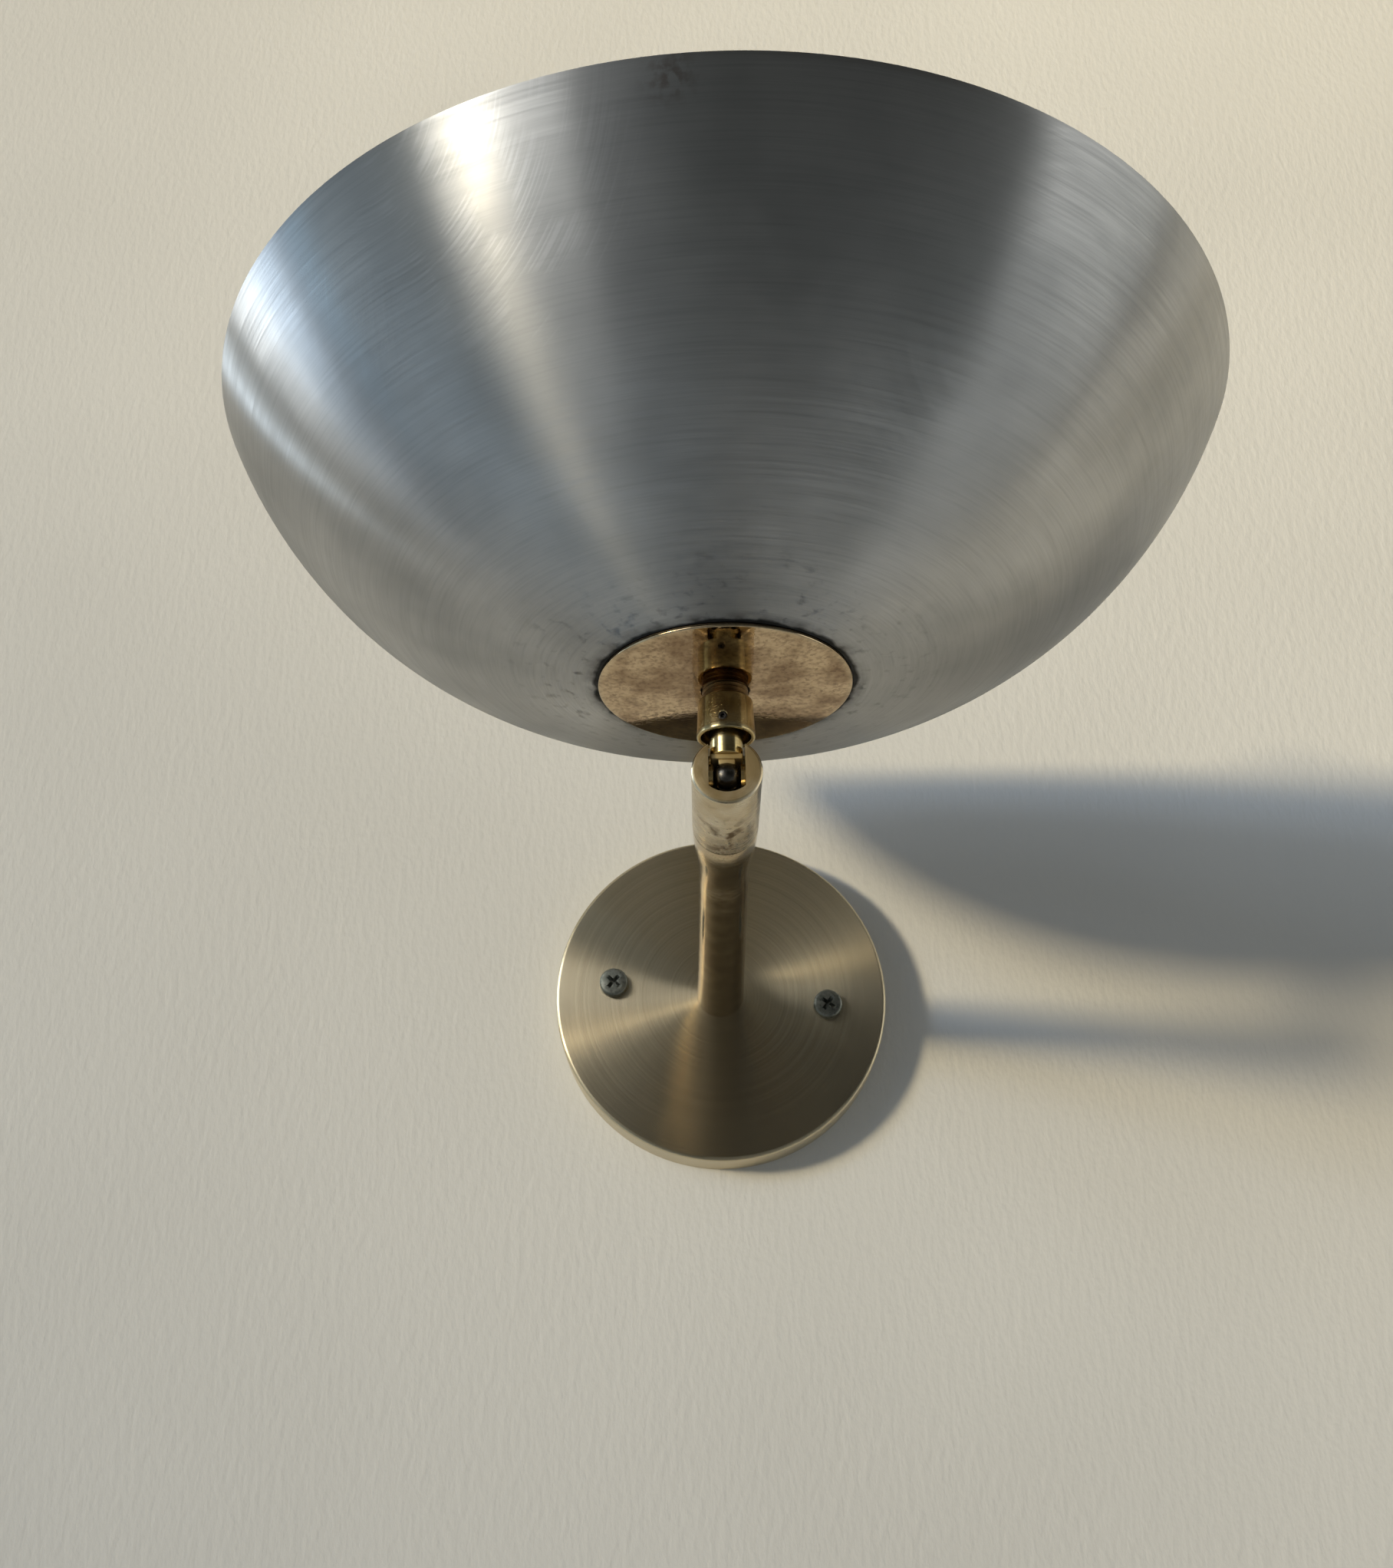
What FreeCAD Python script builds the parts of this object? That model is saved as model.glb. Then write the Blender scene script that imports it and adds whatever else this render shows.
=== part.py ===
import FreeCAD, Part

import math
import os

from FreeCAD import Vector

# Adjustable wall light: a round wall plate, a turned arm square to the wall, a slotted
# knuckle on its end and an upturned spun bowl on a ball-ended stem.
# Millimetres. The wall is the plane y = 0, the light reaches out along -Y and Z is up.
# The origin is the middle of the wall plate, on the wall.

# Fits shared by all pieces
THREAD_GAP = 0.05
RUNNING_GAP = 0.05
PRESS_GAP = 0.02
PASS_GAP = 0.3
FACE_GAP = 0.05
OVERRUN = 1.0

# Wall plate
PLATE_RADIUS = 50.0
PLATE_DEPTH = 13.0
PLATE_WALL = 1.5
PLATE_EDGE_RADIUS = 1.1
PLATE_INNER_RADIUS = 0.6

# Wall screws
SCREW_SPACING = 65.0
SCREW_LINE_TILT = -6.4
SCREW_SHANK_RADIUS = 2.2
SCREW_NECK_RADIUS = 1.7
SCREW_HEAD_RADIUS = 4.3
SCREW_HEAD_RIM = 1.3
SCREW_HEAD_HEIGHT = 3.0
SCREW_HEAD_EDGE = 0.3
SCREW_REACH = 32.0
SCREW_TIP = 7.0
RECESS_WIDTH = 5.0
RECESS_SLOT = 1.1
RECESS_DEPTH = 1.9
RECESS_FLOOR_SHARE = 0.35
DRIVER_TURNS = (18.0, 36.0)

# Backing bar inside the plate
BAR_LENGTH = 84.0
BAR_WIDTH = 24.0
BAR_THICKNESS = 2.0

# Arm
ARM_BASE_RADIUS = 7.0
ARM_WAIST_RADIUS = 6.0
ARM_END_RADIUS = 7.45
FLARE_LENGTH = 30.0
SEAM_REACH = 149.0
SEAM_GAP = 0.1
SEAM_CHAMFER = 0.25
ARM_BORE_RADIUS = 2.0
TAIL_RADIUS = 5.0
TAIL_SETBACK = 3.0
TAIL_CHAMFER = 0.6
SPIGOT_RADIUS = 5.2
SPIGOT_LENGTH = 4.0
SPIGOT_END_GAP = 0.3
SOCKET_DEPTH = 17.0

# Nut and lock washer on the arm's tail
LOCK_WASHER_RADIUS = 9.0
LOCK_WASHER_THICKNESS = 0.9
LOCK_TOOTH_COUNT = 10
LOCK_TOOTH_DEPTH = 1.6
LOCK_TOOTH_GAP = 1.5
ARM_NUT_FLATS = 14.0
ARM_NUT_HEIGHT = 4.0

# Earthing screw and its washer on the bar
EARTH_OFFSET = -18.0
EARTH_SCREW_RADIUS = 2.0
EARTH_HEAD_RADIUS = 3.7
EARTH_HEAD_HEIGHT = 2.4
EARTH_SLOT_WIDTH = 1.0
EARTH_SLOT_DEPTH = 1.1
EARTH_WASHER_RADIUS = 4.6
EARTH_WASHER_THICKNESS = 0.8
EARTH_WASHER_LIP = 0.5
EARTH_WASHER_LIP_WIDTH = 0.7

# Terminal block on the bar
POLE_COUNT = 2
POLE_PITCH = 9.0
POLE_WIDTH = 8.0
BLOCK_OFFSET = 20.5
BLOCK_LENGTH = 17.0
BLOCK_HEIGHT = 8.0
BLOCK_WEB = 3.0
BLOCK_EDGE = 0.6
SLEEVE_RADIUS = 2.2
SLEEVE_BORE_RADIUS = 1.5
SLEEVE_INSET = 1.0
SLEEVE_RISE = 3.6
CLAMP_SCREW_RADIUS = 1.2
CLAMP_SCREW_SPREAD = 8.4
CLAMP_SCREW_SETBACK = 0.6
CLAMP_SLOT_WIDTH = 0.5
CLAMP_SLOT_DEPTH = 0.7
CLAMP_WELL_GAP = 0.35
BLOCK_SCREW_RADIUS = 1.0
BLOCK_SCREW_HEAD_RADIUS = 1.8
BLOCK_SCREW_HEAD_HEIGHT = 1.3

# Knuckle
KNUCKLE_RADIUS = 7.5
KNUCKLE_LENGTH = 29.9
FACE_CHAMFER = 0.6
PIVOT_SETBACK = 3.7
SLOT_WIDTH = 7.8
SLOT_FLOOR_DROP = 5.0
SLOT_FLOOR_RADIUS = 5.8
SLOT_BACK_ROOM = 0.4
SLOT_CORNER_RADIUS = 0.8
SHOULDER_THICKNESS = 5.0

# Swivel screw and its spring washer
SWIVEL_SHANK_RADIUS = 2.5
SWIVEL_HEAD_RADIUS = 3.5
SWIVEL_HEAD_HEIGHT = 2.4
SWIVEL_HEAD_ROOM = 0.2
SWIVEL_BORE_RADIUS = 1.3
SWIVEL_SLOT_WIDTH = 1.0
SWIVEL_SLOT_DEPTH = 1.0
SWIVEL_END_GAP = 0.5
SPRING_WASHER_THICKNESS = 0.35
SPRING_WASHER_RISE = 0.25

# Pin, ball and friction washers
PIN_RADIUS = 1.0
PIN_END_SETBACK = 0.1
BALL_RADIUS = 3.1
BALL_WIDTH = 5.8
BALL_SEAT_RISE = 2.3
PIVOT_WASHER_RADIUS = 2.7

# Stem
STEM_RADIUS = 3.5
STEM_FOOT_RISE = 4.3
STEM_CHAMFER = 0.25
STEM_NECK_RADIUS = 1.95
STEM_TENON_RADIUS = 1.4
STEM_TENON_LENGTH = 1.0
STEM_ENGAGEMENT = 3.5

# Cup over the foot of the shade
CUP_FOOT_RISE = 8.9
CUP_LENGTH = 8.5
CUP_FOOT_RADIUS = 6.25
CUP_TOP_RADIUS = 5.95
CUP_RECESS_RADIUS = 5.35
CUP_RECESS_DEPTH = 4.4
CUP_CHAMFER = 0.2
GRUB_RADIUS = 0.9
GRUB_RISE = 2.6
GRUB_TURN = -6.5
GRUB_SETBACK = 0.15
GRUB_SOCKET_FLATS = 0.9
GRUB_SOCKET_DEPTH = 0.9

# Threaded nipple and what it clamps
NIPPLE_RADIUS = 5.0
NECK_LENGTH = 2.9
DISC_RADIUS = 27.5
DISC_THICKNESS = 1.6
DISC_EDGE_RADIUS = 0.45
BOWL_FLAT_RADIUS = 28.5
BOWL_RIM_RADIUS = 112.5
BOWL_HEIGHT = 62.0
BOWL_WALL = 1.2
BOWL_ARC_RADIUS = 104.5
BOWL_WASHER_RADIUS = 16.0
BOWL_WASHER_THICKNESS = 1.5
NIPPLE_NUT_FLATS = 14.0
NIPPLE_NUT_HEIGHT = 4.0
NUT_CHAMFER = 0.7

# Lampholder
HOLDER_RADIUS = 13.5
CAP_HEIGHT = 11.0
CAP_FLOOR = 2.5
CAP_WALL = 2.0
CAP_EDGE_RADIUS = 2.2
CORE_GAP = 0.2
CORE_HEIGHT = 10.0
CORE_WELL_RADIUS = 6.0
CORE_WELL_DEPTH = 5.0
SLEEVE_LENGTH = 18.5
SLEEVE_POCKET_HEIGHT = 4.0
SLEEVE_EDGE_RADIUS = 1.2
SLEEVE_GRIP_COUNT = 24
SLEEVE_GRIP_RADIUS = 0.8
SLEEVE_GRIP_MARGIN = 3.0
CONTACT_THICKNESS = 0.3
CONTACT_WIDTH = 3.0
CONTACT_RISE = 1.0
CONTACT_BEND = 4.0
CONTACT_TIP_HALF = 1.2
CONTACT_TAIL = 1.0
SIDE_CONTACT_RADIUS = 6.0
TERMINAL_OFFSET = 9.2
TERMINAL_SHANK_RADIUS = 0.9
TERMINAL_SHANK_LENGTH = 5.0
TERMINAL_HEAD_RADIUS = 1.5
TERMINAL_HEAD_HEIGHT = 1.2
TERMINAL_SLOT_WIDTH = 0.4
TERMINAL_SLOT_DEPTH = 0.5

# Lamp
LAMP_THREAD_RADIUS = 6.9
LAMP_THREAD_DEPTH = 0.6
LAMP_THREAD_PITCH = 2.8
LAMP_THREAD_TURNS = 4
LAMP_THREAD_GAP = 0.25
LAMP_SHELL_WALL = 0.6
LAMP_SHELL_RISE = 1.4
LAMP_SHELL_SKIRT = 3.4
LAMP_TIP_RADIUS = 1.6
LAMP_TIP_HEIGHT = 0.6
LAMP_SEAL_RADIUS = 3.2
LAMP_SEAL_HEIGHT = 2.0
LAMP_SEAL_TOP = 0.8
LAMP_NECK_RADIUS = 5.6
LAMP_NECK_DEPTH = 2.0
LAMP_LENGTH = 50.0
GLOBE_RADIUS = 15.0

FULL_TURN = 360.0
QUARTER_TURN = 90.0
HEXAGON_SIDES = 6
CENTRE = Vector(0, 0, 0)
ACROSS = Vector(1, 0, 0)
UPRIGHT = Vector(0, 0, 1)

# Places along the arm, measured out from the wall
PLATE_INSIDE = PLATE_DEPTH - PLATE_WALL
BAR_BACK = PLATE_INSIDE - BAR_THICKNESS
NUT_FRONT = BAR_BACK - LOCK_WASHER_THICKNESS
ARM_WAIST_REACH = SEAM_REACH - FLARE_LENGTH
SPIGOT_END = SEAM_REACH + SPIGOT_LENGTH
KNUCKLE_BACK = SEAM_REACH + SEAM_GAP
COUNTERBORE_END = SPIGOT_END + SPIGOT_END_GAP
SHOULDER_REACH = COUNTERBORE_END + SHOULDER_THICKNESS
SPRING_WASHER_HEIGHT = SPRING_WASHER_THICKNESS + SPRING_WASHER_RISE
SWIVEL_HEAD_REACH = SHOULDER_REACH + FACE_GAP + SPRING_WASHER_HEIGHT
FACE_REACH = KNUCKLE_BACK + KNUCKLE_LENGTH
PIVOT_REACH = FACE_REACH - PIVOT_SETBACK
SLEEVE_REACH = BAR_BACK - SLEEVE_RISE

# Places up the shade, measured from the pivot
CUP_TOP = CUP_FOOT_RISE + CUP_LENGTH
NIPPLE_FOOT = CUP_FOOT_RISE + CUP_RECESS_DEPTH
STEM_TOP = NIPPLE_FOOT + STEM_ENGAGEMENT
DISC_FOOT = CUP_TOP + NECK_LENGTH
BOWL_FOOT = DISC_FOOT + DISC_THICKNESS
BOWL_FLOOR = BOWL_FOOT + BOWL_WALL
NIPPLE_NUT_FOOT = BOWL_FLOOR + BOWL_WASHER_THICKNESS
HOLDER_FOOT = NIPPLE_NUT_FOOT + NIPPLE_NUT_HEIGHT
CORE_FOOT = HOLDER_FOOT + CAP_FLOOR
CORE_TOP = CORE_FOOT + CORE_HEIGHT
SLEEVE_FOOT = HOLDER_FOOT + CAP_HEIGHT
TERMINAL_SEAT = CORE_TOP + CONTACT_THICKNESS
LAMP_TIP = CORE_TOP + CONTACT_RISE + CONTACT_THICKNESS
LAMP_SHELL_FOOT = LAMP_TIP + LAMP_SHELL_RISE
LAMP_THREAD_LENGTH = LAMP_THREAD_PITCH * LAMP_THREAD_TURNS
LAMP_SHELL_TOP = LAMP_SHELL_FOOT + LAMP_THREAD_LENGTH + LAMP_SHELL_SKIRT


def straight(*corners):
    """Edges that join (radius, height) corners one after another."""
    points = [Vector(radius, 0, height) for radius, height in corners]
    return [Part.makeLine(start, end) for start, end in zip(points, points[1:])]


def arc(start, middle, end):
    """One arc through three (radius, height) points."""
    points = [Vector(radius, 0, height) for radius, height in (start, middle, end)]
    return [Part.Arc(*points).toShape()]


def round_corner(centre, radius, start_angle, end_angle):
    """One arc about a centre, between two angles in degrees."""
    angles = (start_angle, (start_angle + end_angle) / 2, end_angle)
    places = []
    for angle in angles:
        turn = math.radians(angle)
        places.append((centre[0] + radius * math.cos(turn), centre[1] + radius * math.sin(turn)))
    return arc(*places)


def turned(edges):
    """A solid of revolution about Z from a closed outline."""
    face = Part.Face(Part.Wire(edges))
    return face.revolve(CENTRE, UPRIGHT, FULL_TURN)


def turned_corners(*corners):
    """A solid of revolution with straight sides."""
    return turned(straight(*corners, corners[0]))


def ring(inner, outer, foot, top):
    return turned_corners((inner, foot), (outer, foot), (outer, top), (inner, top))


def rod(radius, foot, top):
    return Part.makeCylinder(radius, top - foot, Vector(0, 0, foot))


def cross_rod(radius, half_length):
    """A rod along X through the axis."""
    return Part.makeCylinder(radius, 2 * half_length, Vector(-half_length, 0, 0), ACROSS)


def block(width, depth, foot, top):
    """A box that stands on the axis."""
    return Part.makeBox(width, depth, top - foot, Vector(-width / 2, -depth / 2, foot))


def hexagon(flats, foot, top):
    """A six-sided prism with the given size across its flats."""
    reach = flats / 2 / math.cos(math.pi / HEXAGON_SIDES)
    corners = []
    for index in range(HEXAGON_SIDES + 1):
        turn = 2 * math.pi * index / HEXAGON_SIDES
        corners.append(Vector(reach * math.cos(turn), reach * math.sin(turn), foot))
    face = Part.Face(Part.makePolygon(corners))
    return face.extrude(Vector(0, 0, top - foot))


def nut(flats, hole, foot, top):
    """A hexagon nut with its corners chamfered at both ends."""
    reach = flats / 2 / math.cos(math.pi / HEXAGON_SIDES)
    blank = turned_corners(
        (hole, foot),
        (reach - NUT_CHAMFER, foot),
        (reach, foot + NUT_CHAMFER / 2),
        (reach, top - NUT_CHAMFER / 2),
        (reach - NUT_CHAMFER, top),
        (hole, top),
    )
    return blank.common(hexagon(flats, foot, top))


def moved(shape, x=0.0, y=0.0, z=0.0):
    placed = shape.copy()
    placed.translate(Vector(x, y, z))
    return placed


def spun(shape, angle, axis=UPRIGHT):
    placed = shape.copy()
    placed.rotate(CENTRE, axis, angle)
    return placed


def on_arm(shape):
    """Lay a piece drawn up Z along the arm, so that its Z runs out from the wall."""
    return spun(shape, QUARTER_TURN, ACROSS)


def on_bar(shape):
    """Lay a piece drawn over the backing bar on the tilted line of the wall screws."""
    return on_arm(spun(shape, SCREW_LINE_TILT))


def on_shade(shape):
    """Stand a piece drawn up from the pivot on the end of the arm."""
    return moved(shape, y=-PIVOT_REACH)


def screw_places():
    return [-SCREW_SPACING / 2, SCREW_SPACING / 2]


def pole_places():
    first = -POLE_PITCH * (POLE_COUNT - 1) / 2
    return [first + POLE_PITCH * index for index in range(POLE_COUNT)]


def clamp_places():
    return [-CLAMP_SCREW_SPREAD / 2, CLAMP_SCREW_SPREAD / 2]


def wall_plate():
    """A shallow round pan, open to the wall, with holes for the arm and two screws."""
    inner = PLATE_RADIUS - PLATE_WALL
    hole = TAIL_RADIUS + PASS_GAP
    edge = (PLATE_RADIUS - PLATE_EDGE_RADIUS, PLATE_DEPTH - PLATE_EDGE_RADIUS)
    corner = (inner - PLATE_INNER_RADIUS, PLATE_INSIDE - PLATE_INNER_RADIUS)
    outline = straight((hole, PLATE_INSIDE), (hole, PLATE_DEPTH), (edge[0], PLATE_DEPTH))
    outline += round_corner(edge, PLATE_EDGE_RADIUS, QUARTER_TURN, 0)
    outline += straight((PLATE_RADIUS, edge[1]), (PLATE_RADIUS, 0), (inner, 0), (inner, corner[1]))
    outline += round_corner(corner, PLATE_INNER_RADIUS, 0, QUARTER_TURN)
    outline += straight((corner[0], PLATE_INSIDE), (hole, PLATE_INSIDE))
    pan = turned(outline)
    for place in screw_places():
        hole_cut = rod(SCREW_SHANK_RADIUS + PASS_GAP, BAR_BACK, PLATE_DEPTH + OVERRUN)
        pan = pan.cut(moved(hole_cut, x=place))
    return on_bar(pan)


def cross_recess(face):
    """A cross-shaped driving recess that narrows towards its floor."""
    floor = face - RECESS_DEPTH
    top = face + OVERRUN
    bars = block(RECESS_WIDTH, RECESS_SLOT, floor, top)
    bars = bars.fuse(block(RECESS_SLOT, RECESS_WIDTH, floor, top))
    half = RECESS_WIDTH / 2
    slope = half * (1 - RECESS_FLOOR_SHARE) / RECESS_DEPTH
    taper = Part.makeCone(half * RECESS_FLOOR_SHARE, half + slope * OVERRUN, top - floor, Vector(0, 0, floor))
    return bars.common(taper)


def wall_screw(driver_turn):
    """A pan-head wood screw: plain neck in the plate, threaded part in the wall, pointed end."""
    crown = PLATE_DEPTH + SCREW_HEAD_HEIGHT
    rim = PLATE_DEPTH + SCREW_HEAD_RIM
    rise = crown - rim
    dome_radius = (SCREW_HEAD_RADIUS ** 2 + rise ** 2) / (2 * rise)
    half_turn = math.asin(SCREW_HEAD_RADIUS / dome_radius) / 2
    dome_middle = (
        dome_radius * math.sin(half_turn),
        crown - dome_radius * (1 - math.cos(half_turn)),
    )
    outline = straight(
        (0, crown),
        (0, -SCREW_REACH),
        (SCREW_SHANK_RADIUS, SCREW_TIP - SCREW_REACH),
        (SCREW_SHANK_RADIUS, 0),
        (SCREW_NECK_RADIUS, 0),
        (SCREW_NECK_RADIUS, PLATE_DEPTH),
        (SCREW_HEAD_RADIUS - SCREW_HEAD_EDGE, PLATE_DEPTH),
        (SCREW_HEAD_RADIUS, PLATE_DEPTH + SCREW_HEAD_EDGE),
        (SCREW_HEAD_RADIUS, rim),
    )
    outline += arc((SCREW_HEAD_RADIUS, rim), dome_middle, (0, crown))
    return turned(outline).cut(spun(cross_recess(crown), driver_turn))


def wall_screws():
    """Both screws, each stopped at its own turn."""
    screws = []
    for place, driver_turn in zip(screw_places(), DRIVER_TURNS):
        screws.append(moved(wall_screw(driver_turn), x=place))
    return on_bar(Part.makeCompound(screws))


def backing_bar():
    """A flat bar with round ends, drilled for the arm, the screws and its fittings."""
    end = BAR_LENGTH / 2 - BAR_WIDTH / 2
    bar = block(2 * end, BAR_WIDTH, BAR_BACK, PLATE_INSIDE)
    for side in (-end, end):
        bar = bar.fuse(moved(rod(BAR_WIDTH / 2, BAR_BACK, PLATE_INSIDE), x=side))
    holes = [(0, TAIL_RADIUS + PASS_GAP)]
    holes += [(place, SCREW_SHANK_RADIUS + PASS_GAP) for place in screw_places()]
    holes += [(EARTH_OFFSET, EARTH_SCREW_RADIUS + THREAD_GAP)]
    holes += [(BLOCK_OFFSET, BLOCK_SCREW_RADIUS + THREAD_GAP)]
    for place, radius in holes:
        bar = bar.cut(moved(rod(radius, BAR_BACK - OVERRUN, PLATE_INSIDE + OVERRUN), x=place))
    return on_bar(bar.removeSplitter())


def arm_flare():
    """Outline of the flare: a hollow curve, then a full one, level at both ends."""
    length = FLARE_LENGTH
    rise = ARM_END_RADIUS - ARM_WAIST_RADIUS
    middle_height = ARM_WAIST_REACH + length / 2
    middle_radius = ARM_WAIST_RADIUS + rise / 2
    curve = ((length / 2) ** 2 + (rise / 2) ** 2) / rise
    half_turn = math.asin(length / 2 / curve) / 2
    lift = curve * (1 - math.cos(half_turn))
    step = curve * math.sin(half_turn)
    hollow = arc(
        (ARM_WAIST_RADIUS, ARM_WAIST_REACH),
        (ARM_WAIST_RADIUS + lift, ARM_WAIST_REACH + step),
        (middle_radius, middle_height),
    )
    end_height = SEAM_REACH - SEAM_CHAMFER
    end_fall = curve - math.sqrt(curve ** 2 - SEAM_CHAMFER ** 2)
    full = arc(
        (middle_radius, middle_height),
        (ARM_END_RADIUS - lift, SEAM_REACH - step),
        (ARM_END_RADIUS - end_fall, end_height),
    )
    return hollow + full, (ARM_END_RADIUS - end_fall, end_height)


def arm():
    """The turned tube: threaded tail, slim taper, flare, and a spigot for the knuckle."""
    flare, flare_end = arm_flare()
    socket = SWIVEL_SHANK_RADIUS + THREAD_GAP
    socket_foot = SPIGOT_END - SOCKET_DEPTH
    outline = straight(
        (ARM_BORE_RADIUS, TAIL_SETBACK),
        (TAIL_RADIUS - TAIL_CHAMFER, TAIL_SETBACK),
        (TAIL_RADIUS, TAIL_SETBACK + TAIL_CHAMFER),
        (TAIL_RADIUS, PLATE_DEPTH),
        (ARM_BASE_RADIUS, PLATE_DEPTH),
        (ARM_WAIST_RADIUS, ARM_WAIST_REACH),
    )
    outline += flare
    outline += straight(
        flare_end,
        (ARM_END_RADIUS - SEAM_CHAMFER, SEAM_REACH),
        (SPIGOT_RADIUS, SEAM_REACH),
        (SPIGOT_RADIUS, SPIGOT_END),
        (socket, SPIGOT_END),
        (socket, socket_foot),
        (ARM_BORE_RADIUS, socket_foot),
        (ARM_BORE_RADIUS, TAIL_SETBACK),
    )
    return on_arm(turned(outline))


def arm_washer():
    """A lock washer whose inner edge is cut into teeth."""
    inner = TAIL_RADIUS + PASS_GAP
    washer = ring(inner, LOCK_WASHER_RADIUS, NUT_FRONT, BAR_BACK)
    gap = block(2 * LOCK_TOOTH_DEPTH, LOCK_TOOTH_GAP, NUT_FRONT - OVERRUN, BAR_BACK + OVERRUN)
    for index in range(LOCK_TOOTH_COUNT):
        washer = washer.cut(spun(moved(gap, x=inner), FULL_TURN * index / LOCK_TOOTH_COUNT))
    return on_arm(washer)


def arm_nut():
    hole = TAIL_RADIUS + THREAD_GAP
    return on_arm(nut(ARM_NUT_FLATS, hole, NUT_FRONT - ARM_NUT_HEIGHT, NUT_FRONT))


def earth_washer():
    """A dished washer whose raised lip keeps the wire under the screw head."""
    back = BAR_BACK - EARTH_WASHER_THICKNESS
    hole = EARTH_SCREW_RADIUS + PASS_GAP
    lip = EARTH_WASHER_RADIUS - EARTH_WASHER_LIP_WIDTH
    washer = turned_corners(
        (hole, BAR_BACK),
        (EARTH_WASHER_RADIUS, BAR_BACK),
        (EARTH_WASHER_RADIUS, back - EARTH_WASHER_LIP),
        (lip, back - EARTH_WASHER_LIP),
        (lip, back),
        (hole, back),
    )
    return on_bar(moved(washer, x=EARTH_OFFSET))


def earth_screw():
    """A slotted screw that enters the bar from the wall side."""
    seat = BAR_BACK - EARTH_WASHER_THICKNESS
    crown = seat - EARTH_HEAD_HEIGHT
    screw = rod(EARTH_HEAD_RADIUS, crown, seat)
    screw = screw.fuse(rod(EARTH_SCREW_RADIUS, seat, PLATE_INSIDE - FACE_GAP))
    slot = block(2 * EARTH_HEAD_RADIUS + OVERRUN, EARTH_SLOT_WIDTH, crown - OVERRUN, crown + EARTH_SLOT_DEPTH)
    return on_bar(moved(screw.cut(slot), x=EARTH_OFFSET))


def terminal_block():
    """A moulded strip with one rounded tower to each pole, joined by a low web."""
    back = BAR_BACK - BLOCK_HEIGHT
    depth = POLE_PITCH * (POLE_COUNT - 1) + POLE_WIDTH
    body = block(BLOCK_LENGTH, depth, BAR_BACK - BLOCK_WEB, BAR_BACK)
    for pole in pole_places():
        tower = block(BLOCK_LENGTH, POLE_WIDTH, back, BAR_BACK)
        top_edges = [edge for edge in tower.Edges if edge.CenterOfMass.z < back + BLOCK_EDGE]
        body = body.fuse(moved(tower.makeChamfer(BLOCK_EDGE, top_edges), y=pole))
    for pole in pole_places():
        bore = cross_rod(SLEEVE_RADIUS + FACE_GAP, BLOCK_LENGTH / 2 + OVERRUN)
        body = body.cut(moved(bore, y=pole, z=SLEEVE_REACH))
        for place in clamp_places():
            well = rod(CLAMP_SCREW_RADIUS + CLAMP_WELL_GAP, back - OVERRUN, SLEEVE_REACH)
            body = body.cut(moved(well, x=place, y=pole))
    screw_seat = BAR_BACK - BLOCK_WEB
    body = body.cut(rod(BLOCK_SCREW_HEAD_RADIUS + FACE_GAP, back - OVERRUN, screw_seat))
    body = body.cut(rod(BLOCK_SCREW_RADIUS + THREAD_GAP, screw_seat - OVERRUN, BAR_BACK + OVERRUN))
    return on_bar(moved(body.removeSplitter(), x=BLOCK_OFFSET))


def terminal_sleeves():
    """A brass tube to each pole, tapped from the wall side for its two screws."""
    half = BLOCK_LENGTH / 2 - SLEEVE_INSET
    sleeves = []
    for pole in pole_places():
        tube = cross_rod(SLEEVE_RADIUS, half).cut(cross_rod(SLEEVE_BORE_RADIUS, half + OVERRUN))
        for place in clamp_places():
            tapped = rod(CLAMP_SCREW_RADIUS + THREAD_GAP, -SLEEVE_RADIUS - OVERRUN, 0)
            tube = tube.cut(moved(tapped, x=place))
        sleeves.append(moved(tube, y=pole, z=SLEEVE_REACH))
    return on_bar(moved(Part.makeCompound(sleeves), x=BLOCK_OFFSET))


def terminal_screws():
    """Headless clamping screws, two to each pole."""
    crown = BAR_BACK - BLOCK_HEIGHT + CLAMP_SCREW_SETBACK
    screw = rod(CLAMP_SCREW_RADIUS, crown, SLEEVE_REACH)
    slot = block(2 * CLAMP_SCREW_RADIUS + OVERRUN, CLAMP_SLOT_WIDTH, crown - OVERRUN, crown + CLAMP_SLOT_DEPTH)
    screw = screw.cut(slot)
    screws = [moved(screw, x=place, y=pole) for pole in pole_places() for place in clamp_places()]
    return on_bar(moved(Part.makeCompound(screws), x=BLOCK_OFFSET))


def block_screw():
    """The screw between the poles that holds the block on the bar."""
    seat = BAR_BACK - BLOCK_WEB
    crown = seat - BLOCK_SCREW_HEAD_HEIGHT
    screw = rod(BLOCK_SCREW_HEAD_RADIUS, crown, seat)
    screw = screw.fuse(rod(BLOCK_SCREW_RADIUS, seat, PLATE_INSIDE - FACE_GAP))
    reach = 2 * BLOCK_SCREW_HEAD_RADIUS + OVERRUN
    screw = screw.cut(block(reach, CLAMP_SLOT_WIDTH, crown - OVERRUN, crown + CLAMP_SLOT_DEPTH))
    return on_bar(moved(screw, x=BLOCK_OFFSET))


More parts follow.
